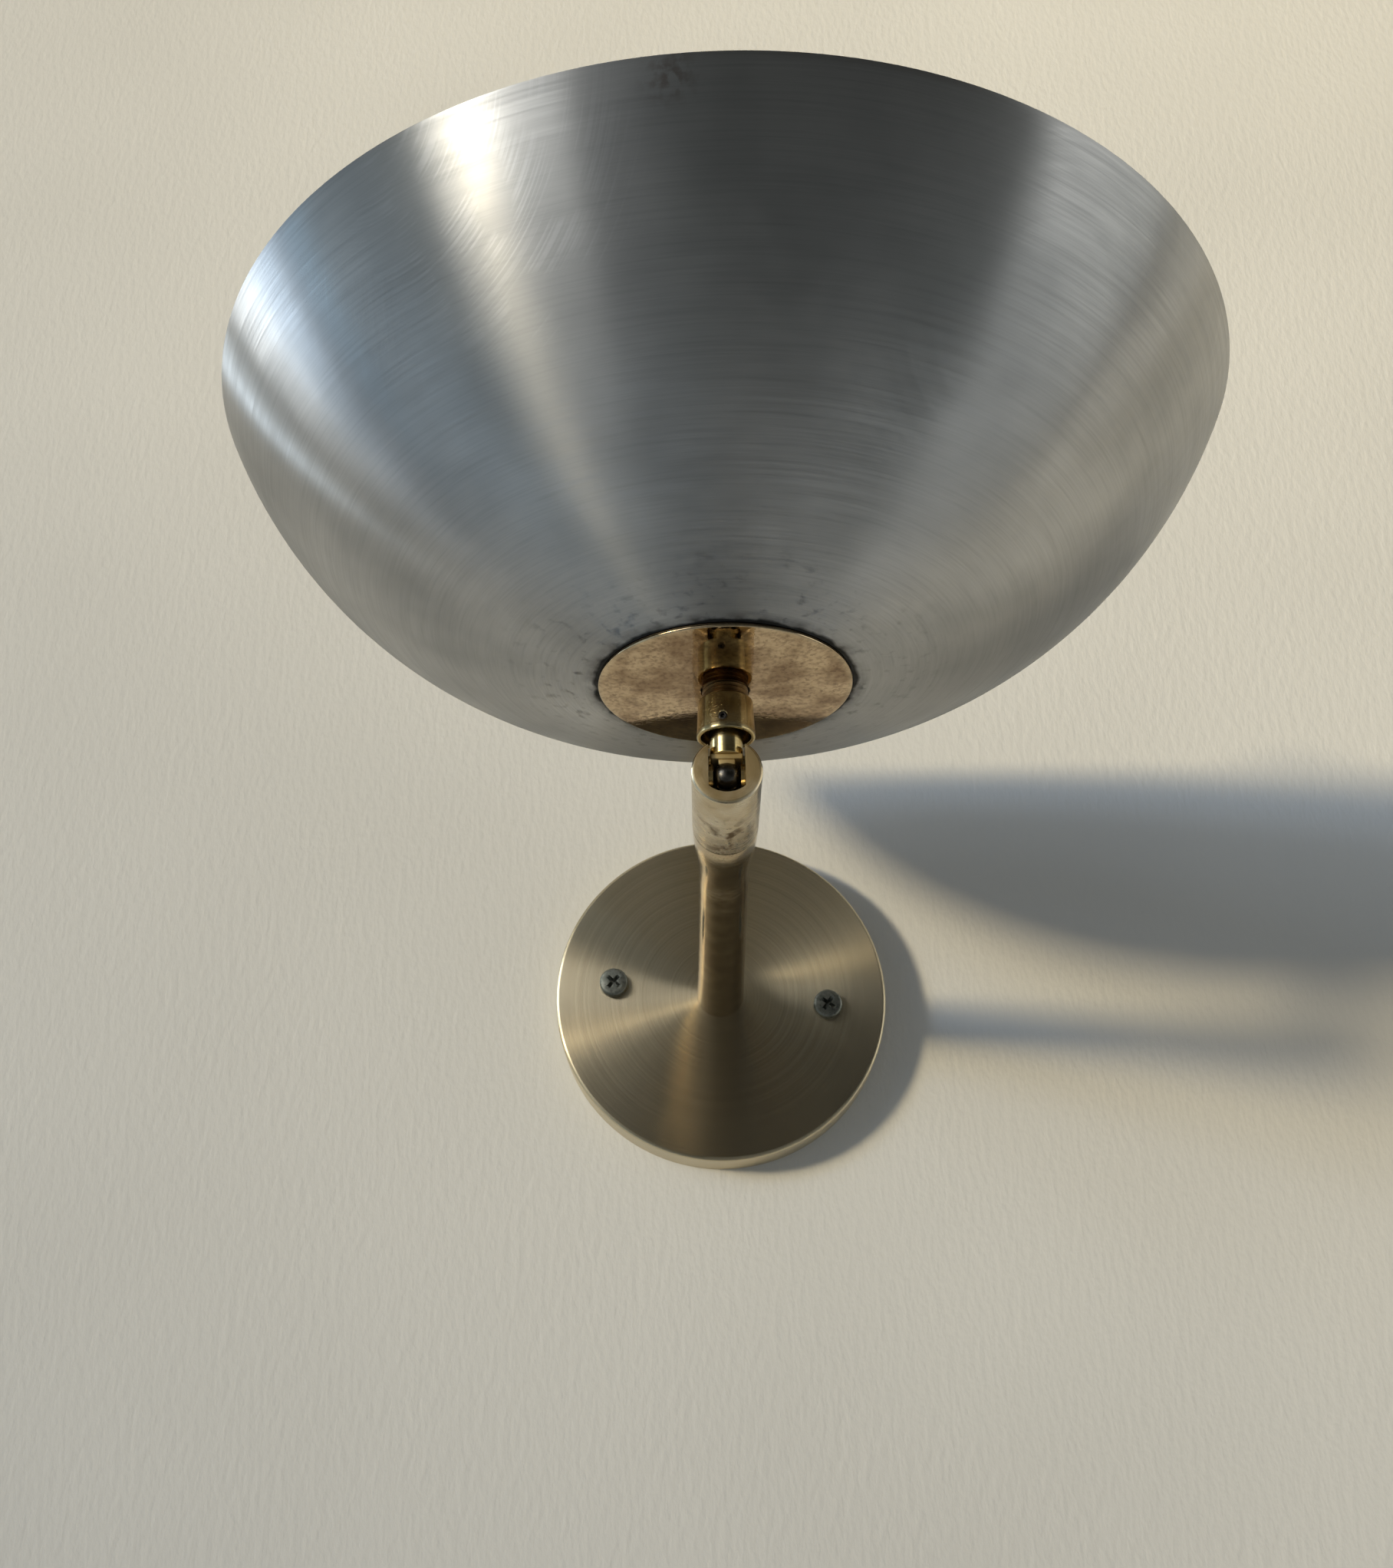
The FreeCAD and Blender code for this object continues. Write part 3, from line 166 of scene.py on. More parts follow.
class Surface:
    """One material while it is made: its colour, roughness and relief so far, and its patterns."""

    def __init__(self, name: str, colour: str, roughness: float, lay: Lay | None = None,
                 shader: dict[str, float] | None = None) -> None:
        """Start a material.

        Args:
            name: The real material and how its surface was made.
            colour: Its colour before any layer is laid.
            roughness: Its roughness before any layer is laid.
            lay: The axis that the surface was turned or brushed about, if any.
            shader: Even values of the shader's other sockets, by name.
        """
        self.material = bpy.data.materials.new(name)
        self.material.use_nodes = True
        self.tree = self.material.node_tree
        self.shader = self.tree.nodes["Principled BSDF"]
        for key, value in (shader or {}).items():
            self.shader.inputs[key].default_value = value
        self.place = add(self.tree, "TexCoord", output="Object")
        self.colour: Colour | Socket = linear(colour)
        self.rough: float | Socket = roughness
        self.relief: Socket | None = None
        if lay:
            self._lay_out(lay)

    def _lay_out(self, lay: Lay) -> None:
        """Make the coordinates about an axis and turn the shader's grain round it.

        Args:
            lay: The axis.
        """
        tree = self.tree
        away = add(tree, "VectorMath", {0: self.place, 1: lay.centre}, operation="SUBTRACT")
        local = add(tree, "Mapping", {"Vector": away, "Rotation": (-lay.turn, 0.0, 0.0)})
        across, along, self.rise = add(tree, "SeparateXYZ", {0: local}).node.outputs
        flat = add(tree, "CombineXYZ", {0: across, 1: along})
        self.reach = add(tree, "VectorMath", {0: flat}, "Value", operation="LENGTH")
        self.spoke = add(tree, "VectorMath", {0: flat}, operation="NORMALIZE")
        around = add(tree, "VectorMath", {0: lay.axis, 1: away}, operation="CROSS_PRODUCT")
        world = add(tree, "VectorTransform", {0: around}, vector_type="VECTOR",
                    convert_from="OBJECT", convert_to="WORLD")
        grain = add(tree, "VectorMath", {0: world}, operation="NORMALIZE")
        tree.links.new(grain, self.shader.inputs["Tangent"])

    def grooves(self, pitch: float, length: float, detail: float = 2.0) -> Socket:
        """Fine marks that run round the axis.

        Args:
            pitch: Distance from mark to mark across the grain.
            length: How often a mark changes along a full turn, as a share of the radian.
            detail: Octaves of the noise.

        Returns:
            A value of about 0.3 to 0.7.
        """
        tree = self.tree
        along = add(tree, "VectorMath", {0: self.spoke, "Scale": length}, operation="SCALE")
        across = add(tree, "Math", {0: self.reach, 1: self.rise}, operation="ADD")
        across = add(tree, "Math", {0: across, 1: 1 / (pitch * MM)}, operation="MULTIPLY")
        stack = add(tree, "CombineXYZ", {2: across})
        place = add(tree, "VectorMath", {0: along, 1: stack}, operation="ADD")
        return add(tree, "TexNoise", {"Vector": place, "Scale": 1.0, "Detail": detail, "Roughness": 0.6})

    def arcs(self, centre: Triple, pitch: float) -> Socket:
        """Marks of a rubbing pad that swung about a point off the axis.

        Args:
            centre: The middle of the swing.
            pitch: Distance from mark to mark.

        Returns:
            A mask from 0 to 1. Along its length a mark changes about every 80 mm.
        """
        tree = self.tree
        away = add(tree, "VectorMath", {0: self.place, 1: Vector(centre) * MM}, "Value",
                   operation="DISTANCE")
        rings = add(tree, "Math", {0: away, 1: 1 / (pitch * MM)}, operation="MULTIPLY")
        slow = add(tree, "VectorMath", {0: self.place, "Scale": 12.0}, operation="SCALE")
        noise = add(tree, "TexNoise", {"Vector": slow, "W": rings, "Scale": 1.0, "Detail": 1.0},
                    noise_dimensions="4D")
        return add(tree, "MapRange", {0: noise, 1: 0.46, 2: 0.64})

    def blotches(self, size: float, low: float, high: float, detail: float = 4.0,
                 stretch: Triple = (1.0, 1.0, 1.0), seed: float = 0.0) -> Socket:
        """Soft or sharp patches with no direction, or drawn out along one.

        Args:
            size: Typical width of a patch.
            low: Noise level at which the patch starts.
            high: Noise level at which it is full.
            detail: Octaves of the noise.
            stretch: How much tighter the pattern is along X, Y and Z.
            seed: Shift that makes another layout of the same patches.

        Returns:
            A mask from 0 to 1.
        """
        shift = (seed * MM, seed * MM, seed * MM)
        place = add(self.tree, "Mapping", {"Vector": self.place, "Location": shift, "Scale": stretch})
        noise = add(self.tree, "TexNoise", {"Vector": place, "Scale": 1 / (size * MM), "Detail": detail})
        return add(self.tree, "MapRange", {0: noise, 1: low, 2: high})

    def underside(self) -> Socket:
        """A mask that is 1 where the surface faces down at rest and 0 where it faces up."""
        facing = add(self.tree, "SeparateXYZ", {0: add(self.tree, "TexCoord", output="Normal")}, "Z")
        return add(self.tree, "MapRange", {0: facing, 1: 0.05, 2: -0.05})

    def near(self, point: Triple, radius: float) -> Socket:
        """A soft round patch.

        Args:
            point: Its middle.
            radius: Where it ends.

        Returns:
            A mask that is 1 in the middle and fades to 0 at the end.
        """
        away = add(self.tree, "VectorMath", {0: self.place, 1: Vector(point) * MM}, "Value",
                   operation="DISTANCE")
        return add(self.tree, "MapRange", {0: away, 1: radius * MM, 2: 0.0}, interpolation_type="SMOOTHSTEP")

    def band(self, along: Socket, start: float, end: float) -> Socket:
        """A mask that grows from 0 to 1 between two distances."""
        return add(self.tree, "MapRange", {0: along, 1: start * MM, 2: end * MM})

    def overlap(self, first: Socket, *others: Socket | float) -> Socket:
        """Leave a mask only where others are full too.

        Args:
            first: The mask.
            *others: The other masks, or an even share.

        Returns:
            Their product.
        """
        for other in others:
            first = add(self.tree, "Math", {0: first, 1: other}, operation="MULTIPLY")
        return first

    def layer(self, value: Socket, colour: str | None = None, share: float = 1.0, rough: float = 0.0,
              span: Pair | None = None) -> None:
        """Lay a colour, a change of roughness or both over what is there.

        Args:
            value: The mask or pattern that says where the layer lies.
            colour: Its colour, if it has one.
            share: How much of the colour shows where the layer is full.
            rough: What it adds to the roughness there.
            span: The pattern's values at which the layer starts and is full, if not 0 and 1.
        """
        if span:
            value = add(self.tree, "MapRange", {0: value, 1: span[0], 2: span[1]})
        if colour:
            factor = self.overlap(value, share)
            self.colour = add(self.tree, "Mix", {0: factor, 6: self.colour, 7: linear(colour)}, 2,
                              data_type="RGBA")
        if rough:
            self.rough = add(self.tree, "Math", {0: value, 1: rough, 2: self.rough},
                             operation="MULTIPLY_ADD")

    def bump(self, height: Socket, depth: float) -> None:
        """Lay relief on the surface, over any relief laid before.

        Args:
            height: The pattern.
            depth: How deep a full step of the pattern is.
        """
        sockets = {"Height": height, "Distance": depth * MM, "Strength": 1.0}
        if self.relief:
            sockets["Normal"] = self.relief
        self.relief = add(self.tree, "Bump", sockets)

    def finish(self) -> bpy.types.Material:
        """Give the shader what was laid.

        Returns:
            The finished material.
        """
        for key, value in (("Base Color", self.colour), ("Roughness", self.rough), ("Normal", self.relief)):
            if isinstance(value, Socket):
                self.tree.links.new(value, self.shader.inputs[key])
            elif value is not None:
                self.shader.inputs[key].default_value = value
        return self.material


# Finishes. Colours are sRGB hex values, and each roughness is where the layers start from.


@dataclass(frozen=True)
class SpunBowlMetal:
    """Aluminium sheet, spun and then brushed round its axis by hand.

    The grain draws every light out into a streak from rim to foot. Crossing arcs, smudges near the
    foot and one brown water stain at the rim break it up.
    """

    name: str = "aluminium_spun_and_hand_brushed"
    base: str = "c6c6c5"
    shade: str = "a6a7a7"
    scratch: str = "7c7e80"
    rubbed: str = "eceef0"
    stain: str = "6b4c36"
    smudge: str = "3c3a37"
    # Dark tones round the disc's edge: dirt together with painted shade where the disc meets the bowl.
    residue_and_shade: str = "2a2622"
    gap_shade_and_residue: str = "14110e"
    roughness: float = 0.341
    # Points in the part's frame: what the pads swung about, and the middles of the marks.
    swirl_centre: Triple = (-62.0, -262.0, 96.0)
    swing_centre: Triple = (96.0, -300.0, 10.0)
    rubbed_place: Triple = (-44.0, -273.0, 70.0)
    stain_place: Triple = (-9.5, -286.0, 80.5)
    # Distances from the axis at which a mark starts and is full, and how far the last one wanders. The last
    # two marks are dark rings of dirt and painted shade where the disc's edge meets the bowl.
    smudge_reach: Pair = (52.0, 29.0)
    shaded_residue_reach: Pair = (31.5, 28.8)
    gap_shade_reach: Pair = (29.3, 28.5)
    gap_shade_waver: float = 0.9

    def material(self) -> bpy.types.Material:
        """Build the material: the grain first, then the marks of use.

        Returns:
            The material.
        """
        surface = Surface(self.name, self.shade, self.roughness, Lay.SHADE,
                          {**ROUND_GRAIN, "Anisotropic": 1.0})
        # Grain of 240 grit is under 0.1 mm apart; it is drawn four to ten times coarser so that it shows.
        fine = surface.grooves(pitch=0.40, length=4.0)
        broad = surface.grooves(pitch=1.3, length=1.2)
        coarse = surface.grooves(pitch=0.75, length=3.6, detail=3.0)
        cloud = surface.blotches(size=38.0, low=0.34, high=0.68, detail=3.0)
        surface.layer(cloud, self.base, rough=-0.04)
        surface.layer(fine, self.shade, share=0.20, span=(0.32, 0.68))
        surface.layer(fine, rough=0.04, span=(0.30, 0.70))
        surface.layer(broad, self.shade, share=0.10, rough=0.03, span=(0.40, 0.62))
        surface.layer(coarse, self.scratch, share=0.18, span=(0.46, 0.74))
        surface.layer(coarse, rough=0.028, span=(0.35, 0.65))
        surface.bump(fine, depth=0.003)
        self._rub(surface)
        self._soil_and_shade(surface)
        return surface.finish()

    def _rub(self, surface: Surface) -> None:
        """Lay what rubbing pads left: one pale rubbed place, and wide arcs with more shine.

        Args:
            surface: The material so far.
        """
        rubbed = surface.overlap(surface.near(self.rubbed_place, radius=40.0),
                                 surface.arcs(self.swirl_centre, pitch=0.4),
                                 surface.blotches(size=9.0, low=0.42, high=0.60, detail=3.0, seed=33.0))
        polished = surface.overlap(surface.blotches(size=52.0, low=0.50, high=0.64, detail=2.0, seed=70.0),
                                   surface.arcs(self.swing_centre, pitch=0.8))
        surface.layer(rubbed, self.rubbed, share=0.30, rough=0.045)
        surface.layer(polished, rough=-0.04)

    def _soil_and_shade(self, surface: Surface) -> None:
        """Lay smudges near the foot, the water stain at the rim, and round the disc's edge a dark halo and
        ring of dirt with painted shade.

        Args:
            surface: The material so far.
        """
        under = surface.underside()
        smudge = surface.blotches(size=2.6, low=0.57, high=0.70, detail=6.0, stretch=(1.0, 1.0, 2.0))
        smudge = surface.overlap(smudge, surface.band(surface.reach, *self.smudge_reach), under)
        stain = surface.overlap(surface.near(self.stain_place, radius=7.0),
                                surface.blotches(size=1.7, low=0.44, high=0.62, seed=21.0))
        # Painted shade with dirt: a dark halo and a darker wavering ring round the disc's edge, on the
        # outside only.
        shaded_halo = surface.overlap(surface.band(surface.reach, *self.shaded_residue_reach),
                               surface.blotches(size=5.0, low=0.30, high=0.70, seed=9.0), under)
        waver = surface.blotches(size=6.0, low=0.35, high=0.65, seed=61.0)
        wavy = add(surface.tree, "Math", {0: waver, 1: self.gap_shade_waver * MM, 2: surface.reach},
                   operation="MULTIPLY_ADD")
        core = surface.overlap(surface.band(wavy, *self.gap_shade_reach), under)
        surface.layer(smudge, self.smudge, share=0.20, rough=0.25)
        surface.layer(stain, self.stain, share=0.45)
        # Painted shade with dirt round the disc's edge.
        surface.layer(shaded_halo, self.residue_and_shade, share=0.75)
        surface.layer(core, self.gap_shade_and_residue, share=0.85, rough=0.2125)


@dataclass(frozen=True)
class BrushedPlateMetal:
    """Bronze-toned brass sheet, brushed in rings on a lathe and lacquered.

    The rings gather light into fans to the left and right of the arm.
    """

    name: str = "brass_sheet_ring_brushed_and_bronzed"
    base: str = "d6c8ab"
    shade: str = "a2937a"
    worn: str = "d8c9a6"
    # A painted highlight: the paler tone of a band along the rim.
    edge: str = "dccfae"
    roughness: float = 0.23
    # Distances from the axis at which the painted highlight along the rim starts and is full.
    edge_highlight_reach: Pair = (48.6, 49.4)

    def material(self) -> bpy.types.Material:
        """Build the material.

        Returns:
            The material.
        """
        surface = Surface(self.name, self.base, self.roughness, Lay.ARM,
                          {**ROUND_GRAIN, "Anisotropic": 1.0, "Coat Weight": 0.12, "Coat Roughness": 0.12})
        # Emery rings under 0.1 mm apart, drawn coarser so that they show.
        fine = surface.grooves(pitch=0.55, length=0.16)
        broad = surface.grooves(pitch=1.4, length=0.10)
        worn = surface.blotches(size=24.0, low=0.45, high=0.68)
        surface.layer(fine, self.shade, share=0.34, span=(0.32, 0.68))
        surface.layer(fine, rough=0.01, span=(0.30, 0.70))
        surface.layer(broad, self.shade, share=0.16, span=(0.40, 0.64))
        surface.layer(worn, self.worn, share=0.15, rough=0.03)
        # Painted highlight: a paler band along the rim.
        surface.layer(surface.band(surface.reach, *self.edge_highlight_reach), self.edge, share=0.5)
        surface.bump(fine, depth=0.0006)
        return surface.finish()


@dataclass(frozen=True)
class TurnedBrass:
    """Brass bar, turned and polished, with the tarnish of handling.

    Fine tool lines run round the axis; brown spots gather in patches. A piece may have one dull end,
    given by where along its axis the dullness starts and is full.
    """

    name: str
    lay: Lay
    base: str
    worn: str
    tarnish: str = "6a4f2f"
    pit: str = "2b2119"
    roughness: float = 0.20
    line_gloss: float = 0.05
    grain: float = 0.45
    # Spots: how much of them shows, their width, and the noise level where they start to show.
    spots: float = 0.35
    spot_size: float = 0.9
    spots_from: float = 0.60
    spot_fade: float = 0.16
    spot_stretch: Triple = (1.0, 1.0, 1.0)
    spot_seed: float = 13.0
    pit_share: float = 0.45
    # Places with more spots, each with its radius.
    spotted: tuple[tuple[Triple, float], ...] = ()
    spotted_share: float = 0.75
    spot_rough: float = 0.28
    # The dull end, and how much of its tone shows beside the worn clouds and on them.
    dull: Pair | None = None
    dull_tone: str = "866a41"
    dull_cover: Pair = (0.85, 0.55)
    dull_metallic: float = 0.6

    def material(self) -> bpy.types.Material:
        """Build the material.

        Returns:
            The material.
        """
        surface = Surface(self.name, self.base, self.roughness - self.line_gloss, self.lay,
                          {**ROUND_GRAIN, "Anisotropic": self.grain})
        # Tool lines of a fine finishing cut are 0.05 mm apart, drawn coarser so that they show.
        fine = surface.grooves(pitch=0.22, length=0.9)
        cloud = surface.blotches(size=7.0, low=0.40, high=0.66)
        surface.layer(cloud, self.worn, rough=0.05)
        surface.layer(fine, self.tarnish, share=0.16, span=(0.34, 0.66))
        surface.layer(fine, rough=2 * self.line_gloss, span=(0.30, 0.70))
        surface.bump(fine, depth=0.004)
        self._spot(surface)
        if self.dull:
            self._dull_end(surface, cloud, surface.band(surface.rise, *self.dull))
        return surface.finish()

    def _spot(self, surface: Surface) -> None:
        """Lay brown spots and dark pits, most of them round the spotted places.

        Args:
            surface: The material so far.
        """
        share: float | Socket = self.spots
        for place, radius in self.spotted:
            share = add(surface.tree, "Math",
                        {0: surface.near(place, radius), 1: self.spotted_share, 2: share},
                        operation="MULTIPLY_ADD")
        spot = surface.blotches(self.spot_size, self.spots_from, self.spots_from + self.spot_fade,
                                detail=7.0, stretch=self.spot_stretch, seed=self.spot_seed)
        pit = surface.blotches(self.spot_size * self.pit_share, low=0.64, high=0.70, detail=2.0, seed=31.0)
        pit = surface.overlap(pit, share)
        surface.layer(surface.overlap(spot, share), self.tarnish, rough=self.spot_rough)
        surface.layer(pit, self.pit)
        surface.bump(surface.overlap(pit, -1.0), depth=0.03)

    def _dull_end(self, surface: Surface, cloud: Socket, face: Socket) -> None:
        """Lay the dull tone over one end and take some of its metal shine away.

        Args:
            surface: The material so far.
            cloud: The worn clouds, where the tone covers less.
            face: A mask of the end.
        """
        cover = add(surface.tree, "MapRange", {0: cloud, 3: self.dull_cover[0], 4: self.dull_cover[1]})
        surface.layer(surface.overlap(face, cover), self.dull_tone)
        surface.layer(face, rough=self.spot_rough)
        metal = add(surface.tree, "MapRange", {0: face, 3: 1.0, 4: self.dull_metallic})
        surface.tree.links.new(metal, surface.shader.inputs["Metallic"])


@dataclass(frozen=True)
class MirrorBrass:
    """Brass disc, buffed to a mirror and then clouded by age.

    Pink-gold clouds and brown freckles lie over a clear reflection that waves a little. The side of
    its edge is black, painted shade with some dirt, and a paler band round the rim is a painted highlight.
    """

    name: str = "brass_disc_buffed_and_clouded"
    base: str = "cfb692"
    cloud: str = "997f60"
    freckle: str = "5f4630"
    # The rim's tone is a painted highlight; the side's black is painted shade with some dirt.
    rim: str = "e9d8b4"
    side: str = "1d1813"
    roughness: float = 0.02
    # Distances from the axis and along it at which the rim's painted highlight and the painted shade on the
    # side of its edge start and are full.
    rim_highlight_reach: Pair = (26.2, 27.5)
    shaded_side_rise: Pair = (21.4, 21.7)
    shaded_side_reach: Pair = (27.0, 27.3)

    def material(self) -> bpy.types.Material:
        """Build the material.

        Returns:
            The material.
        """
        surface = Surface(self.name, self.base, self.roughness, Lay.SHADE, {"Metallic": 1.0})
        cloud = surface.blotches(size=8.0, low=0.42, high=0.64, detail=7.0)
        mottle = surface.blotches(size=1.1, low=0.44, high=0.66, detail=6.0, seed=17.0)
        freckle = surface.blotches(size=1.2, low=0.60, high=0.68, detail=5.0, seed=41.0)
        side = surface.overlap(surface.band(surface.rise, *self.shaded_side_rise),
                               surface.band(surface.reach, *self.shaded_side_reach))
        wave = surface.blotches(size=14.0, low=0.2, high=0.8, detail=1.0, seed=5.0)
        surface.layer(cloud, self.cloud, rough=0.03)
        surface.layer(mottle, self.freckle, share=0.48, rough=0.04)
        surface.layer(freckle, self.freckle, share=0.45)
        # Painted highlight round the rim, then painted shade with dirt on the side of the edge.
        surface.layer(surface.band(surface.reach, *self.rim_highlight_reach), self.rim, share=0.30)
        surface.layer(side, self.side, rough=0.5)
        surface.bump(wave, depth=0.05)
        surface.bump(mottle, depth=0.003)
        return surface.finish()


@dataclass(frozen=True)
class PlainMetal:
    """Steel or plated metal with a faint mottle, grime in places and a fine surface."""

    name: str
    base: str
    shade: str
    roughness: float
    cloud_gloss: float = 0.08
    mottle: float = 1.4
    cloud_share: float = 3.0
    grain_share: float = 0.3
    grime: float = 0.15
    grime_tone: str = "2a2622"
    relief: float = 0.006

    def material(self) -> bpy.types.Material:
        """Build the material.

        Returns:
            The material.
        """
        surface = Surface(self.name, self.shade, self.roughness + self.cloud_gloss,
                          shader={"Metallic": 1.0})
        cloud = surface.blotches(self.mottle * self.cloud_share, low=0.36, high=0.66)
        grain = surface.blotches(self.mottle * self.grain_share, low=0.3, high=0.7, detail=3.0, seed=3.0)
        grime = surface.blotches(self.mottle, low=0.56, high=0.68, detail=5.0, seed=11.0)
        surface.layer(cloud, self.base, rough=-self.cloud_gloss)
        surface.layer(grain, self.shade, share=0.15)
        surface.layer(surface.overlap(grime, self.grime), self.grime_tone, rough=0.3)
        surface.bump(grain, self.relief)
        return surface.finish()


@dataclass(frozen=True)
class Moulding:
    """Moulded or fired non-metal: even colour, faint mottle and a soft skin."""

    name: str
    base: str
    shade: str
    roughness: float
    ior: float = 1.5
    cloud_gloss: float = 0.06
    mottle: float = 3.0
    skin_share: float = 0.12
    relief: float = 0.004
    depth_share: float = 0.0
    depth: float = 4.0

    def material(self) -> bpy.types.Material:
        """Build the material.

        Returns:
            The material.
        """
        surface = Surface(self.name, self.shade, self.roughness + self.cloud_gloss,
                          shader={"IOR": self.ior, "Subsurface Weight": self.depth_share})
        if self.depth_share:
            surface.shader.inputs["Subsurface Radius"].default_value = [self.depth * MM] * 3
        cloud = surface.blotches(self.mottle, low=0.36, high=0.66)
        skin = surface.blotches(self.mottle * self.skin_share, low=0.3, high=0.7, detail=2.0, seed=3.0)
        surface.layer(cloud, self.base, rough=-self.cloud_gloss)
        surface.bump(skin, self.relief)
        return surface.finish()


@dataclass(frozen=True)
class WallPaint:
    """Pale matt wall paint, rolled: a faint nap and nothing else.

    Seen from behind it lets light by. The floor, far below the lamps, gets a lift so that it is pale
    in the views that show it.
    """

    name: str
    base: str
    shade: str
    nap: float
    cloud_naps: float = 90.0
    roughness: float = 0.9
    relief: float = 0.0
    lift: float = 0.0

    def material(self) -> bpy.types.Material:
        """Build the material.

        Returns:
            The material.
        """
        surface = Surface(self.name, self.shade, self.roughness)
        cloud = surface.blotches(self.nap * self.cloud_naps, low=0.35, high=0.65, detail=2.0)
        surface.layer(cloud, self.base)
        if self.relief:
            nap = surface.blotches(self.nap, low=0.3, high=0.7, detail=3.0, stretch=(1.0, 1.0, 0.45))
            surface.bump(nap, self.relief)
        tree, shader = surface.tree, surface.shader
        if self.lift:
            seen = surface.overlap(add(tree, "LightPath", output="Is Camera Ray"), self.lift)
            tree.links.new(seen, shader.inputs["Emission Strength"])
            shader.inputs["Emission Color"].default_value = linear(self.base)
        back = add(tree, "NewGeometry", output="Backfacing")
        both = add(tree, "MixShader", {0: back, 1: shader.outputs[0], 2: add(tree, "BsdfTransparent")})
        tree.links.new(both, tree.nodes["Material Output"].inputs["Surface"])
        return surface.finish()


class Finish(Enum):
    """Every finish on the light, each made once."""

    BOWL = SpunBowlMetal()
    PLATE = BrushedPlateMetal()
    DISC = MirrorBrass()
    # Nearly a mirror, so the room lies along it in bands, with a little tarnish at its end.
    ARM = TurnedBrass("brass_arm_turned_and_polished", Lay.ARM, base="b8a077", worn="c8b68f", roughness=0.08,
                      grain=0.2, spots=0.08, spotted=(((0.0, -149.0, -7.0), 14.0),))
    # Pale plating, worn through to brown in soft patches. The slotted end is dull and darker.
    KNUCKLE = TurnedBrass("brass_knuckle_turned_with_worn_plating", Lay.ARM, base="cbb996", worn="dccfb4",
                          tarnish="6c5537", roughness=0.22, grain=0.3, spots=0.10, spot_size=3.0,
                          spots_from=0.50, spot_stretch=(1.0, 0.8, 1.0), spot_seed=57.0,
                          spotted=(((4.0, -156.0, -6.0), 10.0), ((-1.5, -162.0, -7.0), 10.0),
                                   ((0.0, -150.0, -7.0), 9.0)),
                          dull=(178.6, 178.9), dull_tone="7d6a44")
    # Bright and yellow, freckled with brown and small dark pits.
    CUP = TurnedBrass("brass_cup_turned_and_pitted", Lay.SHADE, base="c4ad76", worn="d6c598",
                      tarnish="4d3b22", roughness=0.11, spots=0.40, spot_size=0.8)
    # Clean and bright, with one clear highlight down its side. The foot is dull.
    STEM = TurnedBrass("brass_stem_turned_bright", Lay.SHADE, base="cdb780", worn="ddcfa4", roughness=0.19,
                       spots=0.14, dull=(4.6, 4.25), dull_tone="b59c6a")
    # Brown and matt, dark between its turns. Its dark tone is partly painted shade, standing for the shade
    # in the gap between the cup and the disc.
    TUBE = TurnedBrass("brass_tube_threaded_aged_with_painted_shade", Lay.SHADE, base="6e5636", worn="8a6d46",
                       tarnish="2b2116", roughness=0.4, spots=0.6)
    # Yellow with a soft shine, as it left the machine.
    FITTING = TurnedBrass("brass_fitting_machined", Lay.ARM, base="c9ab70", worn="d8c08f", roughness=0.24,
                          spots=0.25)
    # Nearly black, with worn grey places that catch the light.
    BALL = PlainMetal("steel_ball_blackened_and_worn", "827f79", "403d39", 0.20, mottle=0.9)
    # Dull grey with patches of dirt.
    ZINC = PlainMetal("steel_zinc_plated_and_dulled", "95978f", "73766f", 0.42, mottle=0.7, grime=0.5)
    # Pale even grey.
    BAR = PlainMetal("steel_strip_zinc_plated", "a9adae", "888d8f", 0.42, mottle=4.0, grime=0.2)
    # Dark grey with the shine of oil.
    SPRING = PlainMetal("spring_steel_oiled", "63605c", "403d3a", 0.34)
    # Bright and faintly warm.
    SHELL = PlainMetal("nickel_plated_rolled_shell", "c9c6be", "a9a59b", 0.22)
    # Off-white with a soft, waxy shine.
    NYLON = Moulding("nylon_moulded_natural", "e4dfd0", "d6cfbc", 0.45)
    # Black with a clear shine.
    PHENOLIC = Moulding("phenolic_moulded_black", "1b1817", "131110", 0.28, ior=1.6)
    # White under a sharp gloss.
    CERAMIC = Moulding("ceramic_glazed_white", "eae7dd", "ddd8ca", 0.14, ior=1.55)
    # Nearly black with a wet gloss.
    SEAL = Moulding("glass_seal_dark_blue", "12131a", "0b0c10", 0.10, ior=1.52)
    # Milk white with light in its depth and a satin skin.
    OPAL = Moulding("glass_opal_etched", "f2efe8", "ebe7de", 0.22, mottle=9.0, relief=0.001,
                    depth_share=0.25)
    # Matt warm white with the fine nap of a roller.
    WALL = WallPaint("wall_paint_rolled_matt", "cbcac6", "c4c3bf", 2.2, relief=0.11)
    # Matt and plain.
    FLOOR = WallPaint("floor_paint_matt", "d2d0cb", "cdcbc6", 4.0, lift=0.30)

    def made(self) -> bpy.types.Material:
        """The finish's material, made the first time that it is asked for."""
        return bpy.data.materials.get(self.value.name) or self.value.material()


def dress(piece: Piece, finish: Finish) -> None:
    """Give a piece one finish all over."""
    piece.data.materials.clear()
    piece.data.materials.append(finish.made())


# Modelling helpers. Pieces are shaped on the bench, about the Z axis, and then seated on the light.


def alone(*pieces: Piece) -> None:
    """Leave edit mode and select only some objects.

    Args:
        *pieces: The objects, the first of which becomes the active one.
    """
    if bpy.context.object and bpy.context.object.mode != "OBJECT":
        bpy.ops.object.mode_set(mode="OBJECT")
    bpy.ops.object.select_all(action="DESELECT")
    for piece in pieces:
        piece.select_set(True)
    if pieces:
        bpy.context.view_layer.objects.active = pieces[0]


